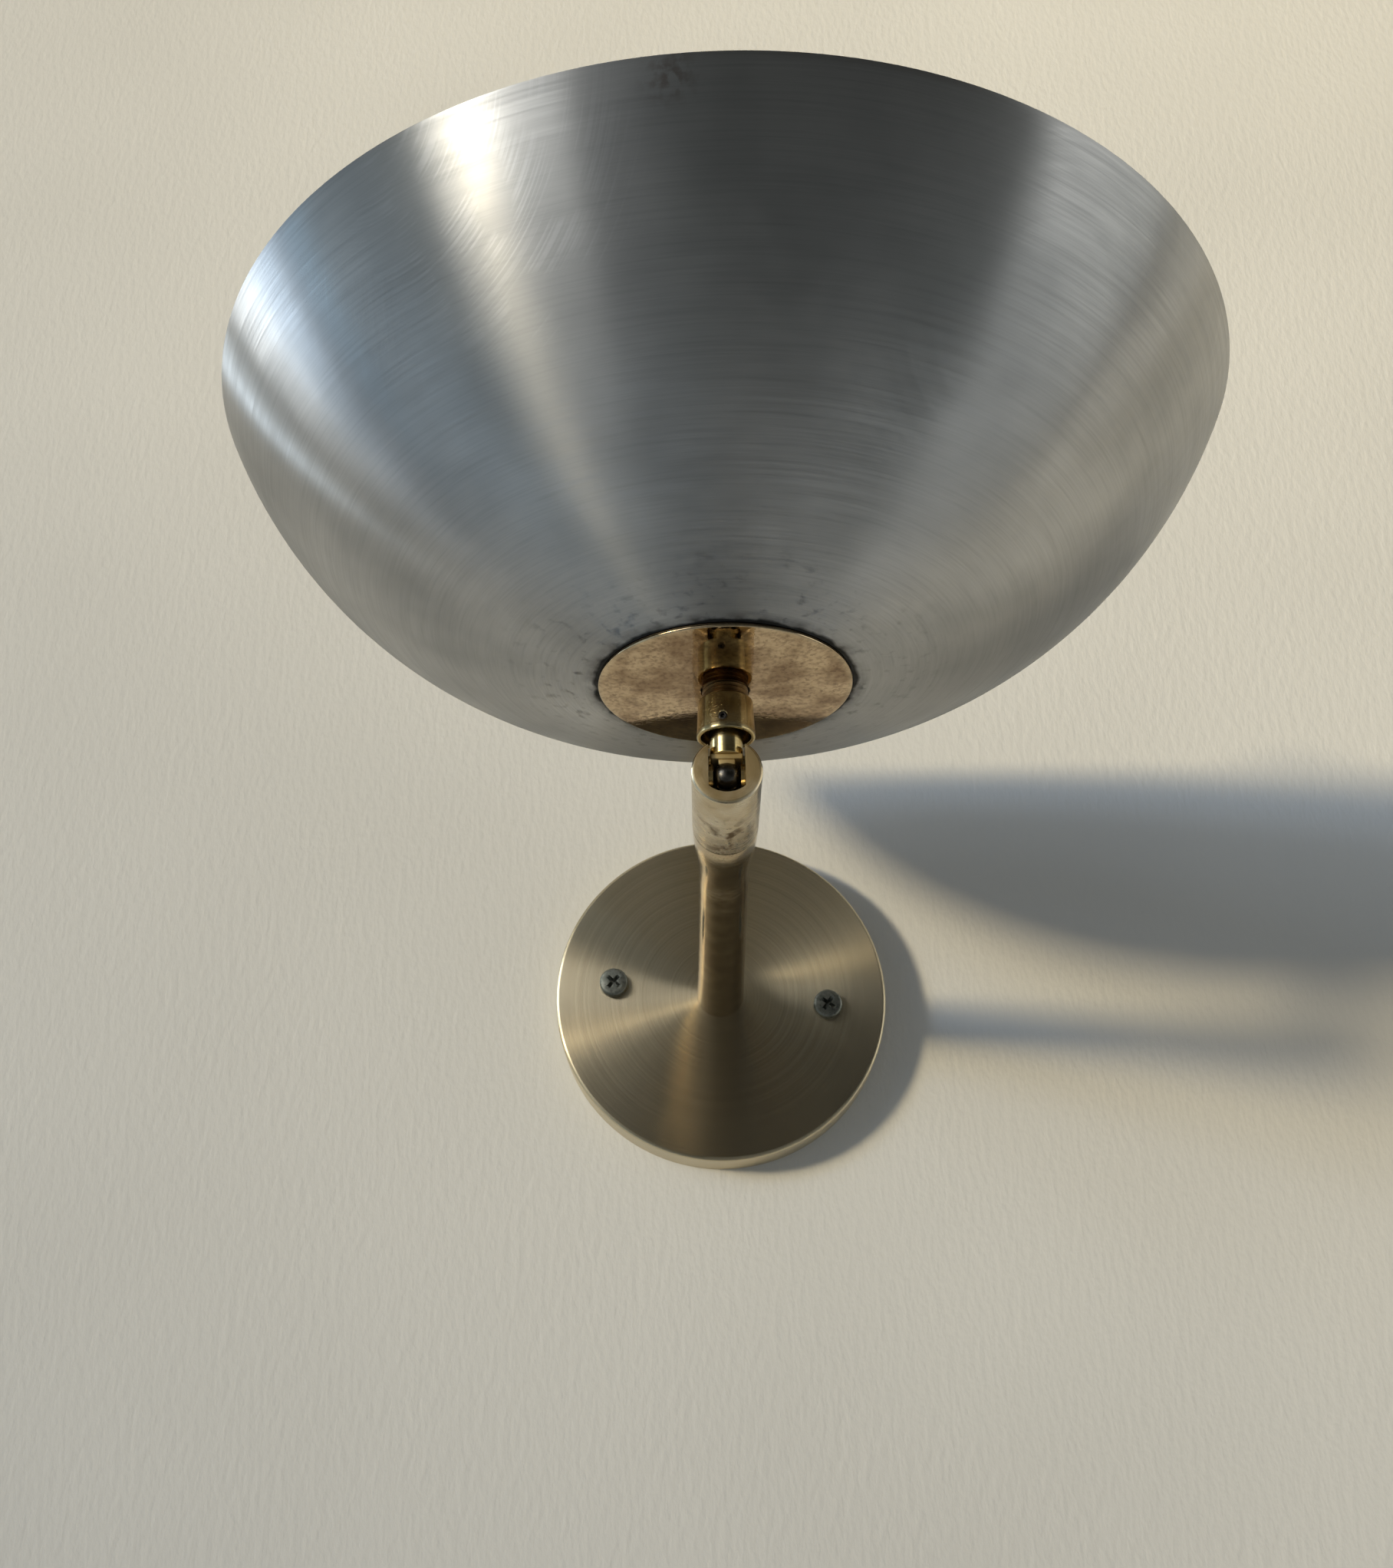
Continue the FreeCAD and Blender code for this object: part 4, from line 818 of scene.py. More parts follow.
def fresh(name: str) -> Piece:
    """Name the primitive that was just added and put its place into its mesh.

    Args:
        name: Its name.

    Returns:
        Its object.
    """
    piece = bpy.context.object
    piece.name = name
    bpy.ops.object.transform_apply(location=True, rotation=True, scale=True)
    return piece


def edit_all(piece: Piece) -> None:
    """Open a piece in edit mode with everything selected.

    Args:
        piece: The piece.
    """
    alone(piece)
    bpy.ops.object.mode_set(mode="EDIT")
    bpy.ops.mesh.select_all(action="SELECT")


def rounded(centre: Pair, radius: float, start: float, end: float, count: int) -> list[Pair]:
    """Points of an arc in a profile.

    Args:
        centre: Reach and height of the arc's centre.
        radius: Its radius.
        start: Angle of its first point.
        end: Angle of its last point.
        count: How many steps it takes.

    Returns:
        The points, both ends included.
    """
    angles = [math.radians(start + (end - start) * step / count) for step in range(count + 1)]
    return [(centre[0] + radius * math.cos(turn), centre[1] + radius * math.sin(turn)) for turn in angles]


def straight(start: Pair, end: Pair, count: int) -> list[Pair]:
    """Points between two corners of a profile.

    Args:
        start: Reach and height of the first corner.
        end: Reach and height of the last corner.
        count: How many even steps lie between them.

    Returns:
        The points, without both corners.
    """
    shares = [step / count for step in range(1, count)]
    return [(start[0] + (end[0] - start[0]) * share, start[1] + (end[1] - start[1]) * share)
            for share in shares]


def traced(name: str, outline: Sequence[Pair]) -> Piece:
    """Draw a profile by extruding one vertex from corner to corner.

    Args:
        name: The new object's name.
        outline: Reach and height of each corner.

    Returns:
        The object, in edit mode with the whole chain selected.
    """
    points = [Vector((reach, 0.0, height)) * MM for reach, height in outline]
    alone()
    bpy.ops.mesh.primitive_plane_add(size=MM, location=points[0])
    piece = fresh(name)
    edit_all(piece)
    bpy.ops.mesh.merge(type="CENTER")
    for start, end in zip(points, points[1:]):
        bpy.ops.mesh.extrude_region_move(TRANSFORM_OT_translate={"value": end - start})
    bpy.ops.mesh.select_all(action="SELECT")
    return piece


def settle(piece: Piece, sharp: float = 32.0) -> Piece:
    """Weld doubles, turn the faces outwards, leave edit mode and shade smooth.

    Args:
        piece: The piece.
        sharp: Edges sharper than this stay sharp.

    Returns:
        The same piece.
    """
    edit_all(piece)
    bpy.ops.mesh.remove_doubles(threshold=WELD)
    bpy.ops.mesh.normals_make_consistent(inside=False)
    bpy.ops.object.mode_set(mode="OBJECT")
    bpy.ops.object.shade_smooth_by_angle(angle=math.radians(sharp))
    return piece


def lathe(name: str, outline: Sequence[Pair], steps: int = 128) -> Piece:
    """Spin a profile round Z.

    Args:
        name: The piece's name.
        outline: Reach and height of each corner; a closed outline repeats its first point.
        steps: Facets in a full turn.

    Returns:
        The piece on the bench.
    """
    piece = traced(name, outline)
    bpy.ops.mesh.spin(steps=steps, angle=math.tau, center=(0.0, 0.0, 0.0), axis=(0.0, 0.0, 1.0))
    return settle(piece)


def drill(reach: float, low: float, high: float, steps: int = 48) -> Piece:
    """A round cutting tool on the bench, of a radius and between two heights."""
    return lathe("drill", [(0.0, low), (reach, low), (reach, high), (0.0, high)], steps)


def threaded(name: str, core: float, crest: float, pitch: float, low: float, high: float,
             steps: int = 32) -> Piece:
    """A rod with a helical thread.

    Args:
        name: The piece's name.
        core: Radius at the thread's root.
        crest: Radius at its crest.
        pitch: Rise of one turn.
        low: Where the rod starts along Z.
        high: Where it ends.
        steps: Facets in a full turn.

    Returns:
        The closed rod on the bench.
    """
    # The thread is wound past both ends of the rod and cut off there.
    foot = low - 1.5 * pitch
    middle = foot + pitch / 2
    land = pitch * CREST_FLAT / 2
    turn = [(core, foot), (crest, middle - land), (crest, middle + land), (core, foot + pitch)]
    piece = traced(name, turn)
    alone(piece)
    wind = piece.modifiers.new("wind", "SCREW")
    wind.axis, wind.angle, wind.screw_offset = "Z", math.tau, pitch * MM
    wind.iterations = math.ceil((high - low) / pitch) + 3
    wind.steps = wind.render_steps = steps
    wind.use_merge_vertices, wind.merge_threshold = True, WELD
    bpy.ops.object.modifier_apply(modifier=wind.name)
    bpy.ops.object.mode_set(mode="EDIT")
    for place, side in ((low, {"clear_inner": True}), (high, {"clear_outer": True})):
        bpy.ops.mesh.select_all(action="SELECT")
        bpy.ops.mesh.bisect(plane_co=(0.0, 0.0, place * MM), plane_no=(0.0, 0.0, 1.0), use_fill=True,
                            **side)
    return settle(piece)


def block(name: str, size: Triple, centre: Triple, foot_share: float, turn: float = 0.0) -> Piece:
    """A block whose lower end is narrower.

    Args:
        name: The piece's name.
        size: Its extent along X, Y and Z.
        centre: Its middle.
        foot_share: Width of the lower end as a share of the upper.
        turn: How far it is turned about Z.

    Returns:
        The block on the bench.
    """
    alone()
    middle = Vector(centre) * MM
    bpy.ops.mesh.primitive_cube_add(size=MM, location=middle, scale=size,
                                    rotation=(0.0, 0.0, math.radians(turn)))
    piece = fresh(name)
    corners = piece.data.vertices
    for corner in corners:
        corner.select = corner.co.z < middle.z
    for side in [*piece.data.edges, *piece.data.polygons]:
        side.select = all(corners[corner].select for corner in side.vertices)
    bpy.ops.object.mode_set(mode="EDIT")
    bpy.ops.transform.resize(value=(foot_share, foot_share, 1.0), center_override=middle)
    bpy.ops.object.mode_set(mode="OBJECT")
    return piece


def cut(piece: Piece, tool: Piece, operation: str = "DIFFERENCE") -> None:
    """Cut a piece with a tool and throw the tool away.

    Args:
        piece: The piece.
        tool: The tool.
        operation: Whether the tool's shape is taken from the piece or is what stays of it.
    """
    alone(piece)
    change = piece.modifiers.new("cut", "BOOLEAN")
    change.operation, change.object, change.solver = operation, tool, "EXACT"
    bpy.ops.object.modifier_apply(modifier=change.name)
    bpy.data.objects.remove(tool)


def soften(piece: Piece, width: float, segments: int = 2, angle: float = 34.0) -> None:
    """Round the sharp edges of a piece.

    Args:
        piece: The piece.
        width: Width of the rounding.
        segments: Facets across it.
        angle: Edges sharper than this are rounded.
    """
    alone(piece)
    change = piece.modifiers.new("edge", "BEVEL")
    change.width, change.segments, change.limit_method = width * MM, segments, "ANGLE"
    change.angle_limit = math.radians(angle)
    bpy.ops.object.modifier_apply(modifier=change.name)
    bpy.ops.object.shade_smooth_by_angle(angle=math.radians(angle))


def joined(*pieces: Piece) -> Piece:
    """Join pieces into the first of them.

    Args:
        *pieces: The pieces.

    Returns:
        The first piece, with the rest in its mesh.
    """
    alone(*pieces)
    bpy.ops.object.join()
    return pieces[0]


def seat(piece: Piece, lay: Lay, place: Triple = (0.0, 0.0, 0.0)) -> Piece:
    """Lay a bench piece on its axis.

    Args:
        piece: The piece.
        lay: The axis.
        place: Shift from the axis's point.

    Returns:
        The piece in place, its object at the origin.
    """
    alone(piece)
    piece.rotation_euler = (lay.turn, 0.0, 0.0)
    piece.location = lay.centre + Vector(place) * MM
    bpy.ops.object.transform_apply(location=True, rotation=True, scale=True)
    return piece


def refined(name: str, node: str, width: float, segments: int = 2) -> Piece:
    """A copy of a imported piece, with its own mesh and its sharp edges rounded.

    Args:
        name: The new piece's name.
        node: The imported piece.
        width: Width of the rounding.
        segments: Facets across it.

    Returns:
        The new piece, in place.
    """
    piece = bpy.data.objects.new(name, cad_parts[node].data.copy())
    bpy.context.scene.collection.objects.link(piece)
    alone(piece)
    bpy.ops.mesh.customdata_custom_splitnormals_clear()
    edit_all(piece)
    bpy.ops.mesh.remove_doubles(threshold=WELD)
    bpy.ops.mesh.dissolve_limited(angle_limit=math.radians(FLAT_ANGLE))
    bpy.ops.object.mode_set(mode="OBJECT")
    soften(piece, width, segments)
    return piece


def hand_over(piece: Piece, body: Body, finish: Finish, node: str) -> None:
    """Dress a new piece, ride it on its body and let it stand for its node.

    Args:
        piece: The new piece.
        body: The body that it moves with.
        finish: Its finish.
        node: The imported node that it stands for.
    """
    dress(piece, finish)
    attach(piece, body.value)
    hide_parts(node)
    LOG.info("%s: %d faces on %s", piece.name, len(piece.data.polygons), body.value)


# Sub-assemblies


@dataclass
class WallSide:
    """What is fixed to the wall: screws and arm."""

    # The plate's face, and the line of the two screws on it.
    face: float = 13.0
    spacing: float = 65.0
    line_tilt: float = -6.4
    # A screw's head, and where its dome starts: a share of the head, and how far below the top.
    head: float = 4.3
    head_height: float = 3.0
    head_round: float = 1.0
    head_drop: float = 0.15
    head_dome: Pair = (0.45, 0.03)
    under_edge: float = 0.2
    # Its neck, thread and point.
    neck: float = 1.7
    shank: float = 2.2
    core: float = 1.5
    screw_pitch: float = 2.2
    screw_reach: float = 32.0
    tip: float = 7.0
    # Its cross recess as width, slot and depth, and the turn at which each screw stopped.
    recess: Triple = (5.2, 1.3, 2.4)
    recess_foot: float = 0.42
    recess_edge: float = 0.09
    driver_turns: Pair = (48.0, 54.0)
    driver_above: float = 0.4
    # The arm, and the seam where it meets the knuckle.
    arm_base: float = 7.0
    foot_edge: float = 0.15
    waist: float = 6.0
    waist_reach: float = 119.0
    arm_end: float = 7.45
    seam: float = 149.0
    seam_edge: float = 0.3
    # Its threaded tail behind the plate, and its bore.
    tail: float = 5.0
    tail_core: float = 4.45
    tail_start: float = 3.0
    tail_pitch: float = 1.0
    tail_lap: float = 0.1
    bore: float = 2.0

    def screw(self, name: str, driver_turn: float) -> Piece:
        """A wood screw on the bench: pan head with a cross recess, plain neck, coarse thread and point.

        Args:
            name: The screw's name.
            driver_turn: Where its recess stopped.

        Returns:
            The screw.
        """
        crown = self.face + self.head_height
        side = crown - self.head_drop - self.head_round
        dome, sink = self.head_dome
        outline = [(0.0, 0.0), (self.neck, 0.0), (self.neck, self.face),
                   (self.head - self.under_edge, self.face), (self.head, self.face + self.under_edge)]
        outline += rounded((self.head - self.head_round, side), self.head_round, 0.0, 78.0, count=7)
        outline += [(self.head * dome, crown - sink), (0.0, crown)]
        head = lathe(name, outline, steps=64)
        width, slot, depth = self.recess
        size = (width, slot, depth + self.driver_above)
        middle = (0.0, 0.0, crown - depth / 2 + self.driver_above / 2)
        for turn in (driver_turn, driver_turn + 90.0):
            cut(head, block("driver", size, middle, self.recess_foot, turn))
        soften(head, self.recess_edge, angle=40.0)
        end = -self.screw_reach
        thread = threaded("thread", self.core, self.shank, self.screw_pitch, end, 0.0, steps=28)
        cone = [(0.0, end), (self.shank, self.tip + end), (self.shank, 0.0), (0.0, 0.0)]
        cut(thread, lathe("point", cone, steps=48), "INTERSECT")
        return joined(head, thread)

    def screws(self) -> Piece:
        """Both wall screws in place.

        Returns:
            The screws as one piece.
        """
        half = self.spacing / 2
        lean = math.radians(self.line_tilt)
        pair = []
        for side, turn in zip((-half, half), self.driver_turns):
            piece = self.screw(f"screw_{len(pair)}", turn)
            pair.append(seat(piece, Lay.ARM, (side * math.cos(lean), 0.0, side * math.sin(lean))))
        both = joined(*pair)
        both.name = "wall_screws_cross_recess"
        return both

    def arm(self) -> Piece:
        """The turned arm: taper, flare in two opposite curves, and the threaded tail behind the plate.

        Returns:
            The arm in place.
        """
        outline = [(0.0, self.face), (self.arm_base - self.foot_edge, self.face),
                   (self.arm_base, self.face + self.foot_edge)]
        outline += straight((self.arm_base, self.face), (self.waist, self.waist_reach), count=24)
        length, swell = self.seam - self.seam_edge - self.waist_reach, self.arm_end - self.waist
        for share in (step / 32 for step in range(33)):
            curve = 2 * share ** 2 if share < 0.5 else 1 - 2 * (1 - share) ** 2
            outline.append((self.waist + swell * curve, self.waist_reach + length * share))
        outline += [(self.arm_end - self.seam_edge, self.seam), (0.0, self.seam)]
        body = lathe("arm_turned", outline)
        end = self.face + self.tail_lap
        tail = threaded("tail", self.tail_core, self.tail, self.tail_pitch, self.tail_start, end)
        cut(tail, drill(self.bore, self.tail_start - OVERRUN, self.face))
        return seat(joined(body, tail), Lay.ARM)

    def build(self) -> None:
        """Make the pieces and put them on the wall side."""
        hand_over(self.screws(), Body.WALL, Finish.ZINC, "wall_screws")
        hand_over(self.arm(), Body.WALL, Finish.ARM, "arm")


@dataclass
class KnuckleEnd:
    """The slotted knuckle that turns about the arm."""

    edge: float = 0.16

    def build(self) -> None:
        """Make the knuckle with the thin rounding that hand polishing leaves on its milled edges."""
        piece = refined("knuckle_milled", "knuckle", self.edge, segments=3)
        hand_over(piece, Body.KNUCKLE, Finish.KNUCKLE, "knuckle")


@dataclass
class Shade:
    """The upturned bowl with its disc, cup, stem and threaded tube."""

    # The bowl: its flat, its rim and the arc between them. The foot is the flat's outer face.
    flat: float = 28.5
    rim: float = 112.5
    foot: float = 21.9
    height: float = 62.0
    wall: float = 1.2
    sweep: float = 104.5
    hole: float = 5.3
    rim_edge: float = 0.3
    # The disc, and how far its face curves up from the hole to the edge.
    disc: float = 27.5
    disc_foot: float = 20.3
    disc_edge: float = 0.35
    hole_edge: float = 0.1
    crown: float = 0.62
    crown_power: float = 2.2
    # The cup, and the hole of its grub screw.
    cup_foot: float = 8.9
    cup_top: float = 17.4
    cup_radius: float = 6.25
    cup_top_radius: float = 5.95
    cup_top_edge: float = 0.25
    cup_recess: float = 5.35
    cup_bore: float = 5.05
    recess_depth: float = 4.4
    lip: float = 0.32
    grub_rise: float = 2.6
    grub_turn: float = -6.5
    grub_hole: float = 0.95
    grub_span: Pair = (4.5, 7.5)
    grub_edge: float = 0.08
    # The stem, and the two parts of its tongue as width, depth and height.
    stem_radius: float = 3.5
    stem_foot: float = 4.3
    stem_top: float = 16.8
    stem_edge: float = 0.3
    tongue: Triple = (6.8, 4.6, 1.15)
    tongue_neck: Triple = (3.6, 3.6, 1.2)
    tongue_foot: float = 0.97
    tongue_edge: float = 0.25
    lap: float = 0.1
    # The threaded tube.
    tube: float = 5.0
    tube_core: float = 4.5
    tube_bore: float = 3.55
    tube_top: float = 31.05
    tube_pitch: float = 1.0

    @property
    def seat_height(self) -> float:
        """Where the threaded tube starts, at the bottom of the cup's thread."""
        return self.cup_foot + self.recess_depth

    def bowl(self) -> Piece:
        """The spun bowl, from the same sizes as the solid but with a finer sweep and a rounded rim.

        Returns:
            The bowl in place.
        """
        run = self.rim - self.flat
        chord = math.hypot(run, self.height)
        offset = math.sqrt(self.sweep ** 2 - (chord / 2) ** 2)
        centre = (self.flat + run / 2 - offset * self.height / chord,
                  self.foot + self.height / 2 + offset * run / chord)
        floor, tip = self.foot + self.wall, self.foot + self.height - self.rim_edge
        inner, half = self.sweep - self.wall, self.wall / 2
        rim_turn = math.asin((tip - centre[1]) / self.sweep)
        start = math.degrees(math.atan2(self.foot - centre[1], self.flat - centre[0]))
        inner_top, inner_end = (math.degrees(math.asin((level - centre[1]) / inner))
                                for level in (tip, floor))
        outline = [(self.hole, floor), (self.hole, self.foot)]
        outline += straight((self.hole, self.foot), (self.flat, self.foot), count=6)
        outline += rounded(centre, self.sweep, start, math.degrees(rim_turn), count=72)
        middle = centre[0] + (self.sweep - half) * math.cos(rim_turn)
        outline += rounded((middle, tip), half, 0.0, 180.0, count=8)[1:-1]
        outline += rounded(centre, inner, inner_top, inner_end, count=56)
        outline.append(outline[0])
        squash = self.rim_edge / half
        outline = [(reach, tip + (height - tip) * squash if height > tip else height)
                   for reach, height in outline]
        return seat(lathe("spun_bowl", outline, steps=256), Lay.SHADE)

    def shade_disc(self) -> Piece:
        """The disc, crowned a little by its pressing, with a rolled edge.

        Returns:
            The disc in place.
        """
        start, reach = self.hole + self.hole_edge, self.disc - self.disc_edge
        outline = [(self.hole, self.foot), (self.hole, self.disc_foot + self.hole_edge),
                   (start, self.disc_foot)]
        for share in (step / 24 for step in range(1, 25)):
            outline.append((start + (reach - start) * share,
                            self.disc_foot + self.crown * share ** self.crown_power))
        outline += rounded((reach, outline[-1][1] + self.disc_edge), self.disc_edge, -78.0, 0.0, count=5)
        outline += [(self.disc, self.foot), (self.hole, self.foot)]
        return seat(lathe("shade_disc_crowned", outline, steps=160), Lay.SHADE)

    def cup(self) -> Piece:
        """The collar: bright rounded lip, slight taper, recess below and the grub screw's hole.

        Returns:
            The cup in place.
        """
        low, edge = self.cup_foot + self.lip, self.cup_top_edge
        outline = [(self.cup_recess, low)]
        outline += rounded((self.cup_recess + self.lip, low), self.lip, 180.0, 270.0, count=5)[1:]
        outline += rounded((self.cup_radius - self.lip, low), self.lip, 270.0, 360.0, count=5)
        outline += straight((self.cup_radius, low), (self.cup_top_radius, self.cup_top), count=9)
        outline += rounded((self.cup_top_radius - edge, self.cup_top - edge), edge, 0.0, 90.0, count=4)
        outline += [(self.cup_bore, self.cup_top), (self.cup_bore, self.seat_height),
                    (self.cup_recess, self.seat_height), (self.cup_recess, low)]
        piece = lathe("cup_turned", outline, steps=96)
        hole = drill(self.grub_hole, *self.grub_span, steps=32)
        alone(hole)
        hole.rotation_euler = (math.radians(90.0), 0.0, math.radians(self.grub_turn))
        hole.location = (0.0, 0.0, (self.cup_foot + self.grub_rise) * MM)
        bpy.ops.object.transform_apply(location=True, rotation=True, scale=True)
        cut(piece, hole)
        soften(piece, self.grub_edge, angle=60.0)
        return seat(piece, Lay.SHADE)

    def stem(self) -> Piece:
        """The stem: a turned upper part and a flat tongue that reaches into the ball.

        Returns:
            The stem in place.
        """
        foot, top, edge = self.stem_foot, self.stem_top, self.stem_edge
        outline = [(0.0, foot), (self.stem_radius - edge, foot)]
        outline += rounded((self.stem_radius - edge, foot + edge), edge, -70.0, 0.0, count=4)
        outline += [(self.stem_radius, top - edge), (self.stem_radius - edge, top), (0.0, top)]
        parts, level = [lathe("stem_turned", outline, steps=96)], foot + self.lap
        for size in (self.tongue, self.tongue_neck):
            part = block("tongue", size, (0.0, 0.0, level - size[2] / 2), self.tongue_foot)
            soften(part, self.tongue_edge, segments=3)
            parts.append(part)
            level -= size[2] - self.lap
        return seat(joined(*parts), Lay.SHADE)

    def tube_piece(self) -> Piece:
        """The threaded tube that holds disc, bowl and lampholder.

        Returns:
            The tube in place.
        """
        low, high = self.seat_height, self.tube_top
        rod = threaded("tube_threaded", self.tube_core, self.tube, self.tube_pitch, low, high)
        cut(rod, drill(self.tube_bore, low - OVERRUN, high + OVERRUN))
        return seat(rod, Lay.SHADE)

    def build(self) -> None:
        """Make the pieces and put them on the shade."""
        hand_over(self.bowl(), Body.SHADE, Finish.BOWL, "bowl")
        hand_over(self.shade_disc(), Body.SHADE, Finish.DISC, "shade_disc")
        hand_over(self.cup(), Body.SHADE, Finish.CUP, "cup")
        hand_over(self.stem(), Body.SHADE, Finish.STEM, "stem")
        hand_over(self.tube_piece(), Body.SHADE, Finish.TUBE, "nipple")


@dataclass
class SmallParts:
    """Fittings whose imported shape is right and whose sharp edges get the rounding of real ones.

    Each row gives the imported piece, its body, its slot in the record, its finish and the width of
    the rounding.
    """

    rows: tuple[tuple[str, Body, Slot, Finish, float], ...] = (
        ("backing_bar", Body.WALL, Slot.ZINC_STEEL, Finish.BAR, 0.2),
        ("arm_washer", Body.WALL, Slot.ZINC_STEEL, Finish.BAR, 0.08),
        ("arm_nut", Body.WALL, Slot.BRUSHED_BRASS, Finish.FITTING, 0.2),
        ("earth_screw", Body.WALL, Slot.BRUSHED_BRASS, Finish.FITTING, 0.12),
        ("earth_washer", Body.WALL, Slot.BRUSHED_BRASS, Finish.FITTING, 0.08),
        ("terminal_block", Body.WALL, Slot.NYLON, Finish.NYLON, 0.18),
        ("terminal_sleeves", Body.WALL, Slot.BRUSHED_BRASS, Finish.FITTING, 0.06),
        ("terminal_screws", Body.WALL, Slot.ZINC_STEEL, Finish.ZINC, 0.06),
        ("block_screw", Body.WALL, Slot.ZINC_STEEL, Finish.ZINC, 0.08),
        ("swivel_screw", Body.WALL, Slot.ZINC_STEEL, Finish.ZINC, 0.1),
        ("pivot_pin", Body.KNUCKLE, Slot.ZINC_STEEL, Finish.ZINC, 0.12),
        ("grub_screw", Body.SHADE, Slot.ZINC_STEEL, Finish.BALL, 0.05),
        ("bowl_washer", Body.SHADE, Slot.ZINC_STEEL, Finish.ZINC, 0.15),
        ("nipple_nut", Body.SHADE, Slot.BRUSHED_BRASS, Finish.FITTING, 0.2),
        ("holder_cap", Body.SHADE, Slot.PHENOLIC, Finish.PHENOLIC, 0.2),
        ("holder_sleeve", Body.SHADE, Slot.PHENOLIC, Finish.PHENOLIC, 0.2),
        ("holder_core", Body.SHADE, Slot.CERAMIC, Finish.CERAMIC, 0.25),
        ("holder_screws", Body.SHADE, Slot.ZINC_STEEL, Finish.ZINC, 0.08),
    )

    def build(self) -> None:
        """Make each piece."""
        for node, body, slot, finish, width in self.rows:
            hand_over(refined(f"{node}_edged", node, width), body, finish, node)


@dataclass
class PackedPieces:
    """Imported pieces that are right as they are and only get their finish."""

    rows: tuple[tuple[str, Finish], ...] = (
        ("wall_plate", Finish.PLATE),
        ("pivot_ball", Finish.BALL),
        ("swivel_washer", Finish.SPRING),
        ("centre_contact", Finish.FITTING),
        ("side_contact", Finish.FITTING),
        ("pivot_washers", Finish.FITTING),
        ("lamp_cap", Finish.SHELL),
        ("lamp_insulator", Finish.SEAL),
        ("lamp_globe", Finish.OPAL),
    )

    def build(self) -> None:
        """Dress each piece."""
        for node, finish in self.rows:
            dress(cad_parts[node], finish)
            LOG.info("%s: dressed in %s", node, finish.value.name)


# Studio


@dataclass
class Camera:
    """The photograph's viewpoint and its lens. The clipping distances are metres."""

    place: Triple = (-6.36, -486.25, -138.47)
    yaw: float = -1.70
    pitch: float = 23.77
    lens: float = 41.63
    sensor: float = 36.0
    shift: float = 0.0312
    clip: Pair = (0.01, 30.0)

    def build(self) -> None:
        """Set up the scene's camera."""
        camera = bpy.data.cameras.new("photograph")
        camera.sensor_fit, camera.sensor_width = "HORIZONTAL", self.sensor
        camera.lens, camera.shift_x = self.lens, self.shift
        camera.clip_start, camera.clip_end = self.clip
        rig = bpy.data.objects.new("photograph", camera)
        bpy.context.scene.collection.objects.link(rig)
        rig.location = Vector(self.place) * MM
        rig.rotation_euler = (math.radians(90 + self.pitch), 0.0, math.radians(-self.yaw))
        bpy.context.scene.camera = rig


@dataclass(frozen=True)
class Lamp:
    """One soft studio lamp, given by the direction that it comes from as seen from the light.

    Its bearing is measured from -Y towards +X, and its width and height are angles too. A lamp with a
    cone is a spot whose light fades from the middle of the cone to its edge.
    """

    name: str
    use: Use
    bearing: float
    rise: float
    width: float
    height: float
    power: float
    colour: str
    distance: float = 3300.0
    origin: Triple = (0.0, -150.0, 20.0)
    aim: Triple | None = None
    cone: float = 0.0

    def build(self) -> None:
        """Set up the lamp."""
        data = bpy.data.lights.new(self.name, "SPOT" if self.cone else "AREA")
        reach = self.distance * MM
        width, height = (2 * reach * math.tan(math.radians(span / 2)) for span in (self.width, self.height))
        if self.cone:
            data.shadow_soft_size, data.spot_size, data.spot_blend = width / 2, math.radians(self.cone), 1.0
        else:
            data.shape, data.size, data.size_y = "RECTANGLE", width, height
        data.energy, data.color = self.power, linear(self.colour)[:3]
        rig = bpy.data.objects.new(self.name, data)
        bpy.context.scene.collection.objects.link(rig)
        turn, lift = math.radians(self.bearing), math.radians(self.rise)
        away = Vector((math.sin(turn) * math.cos(lift), -math.cos(turn) * math.cos(lift), math.sin(lift)))
        rig.location = Vector(self.origin) * MM + away * reach
        facing = Vector(self.aim or self.origin) * MM - rig.location
        rig.rotation_euler = facing.to_track_quat("-Z", "Y").to_euler()
        rig.visible_camera = False
        rig.visible_diffuse = self.use is Use.MATT
        rig.visible_glossy = self.use is Use.GLOSS


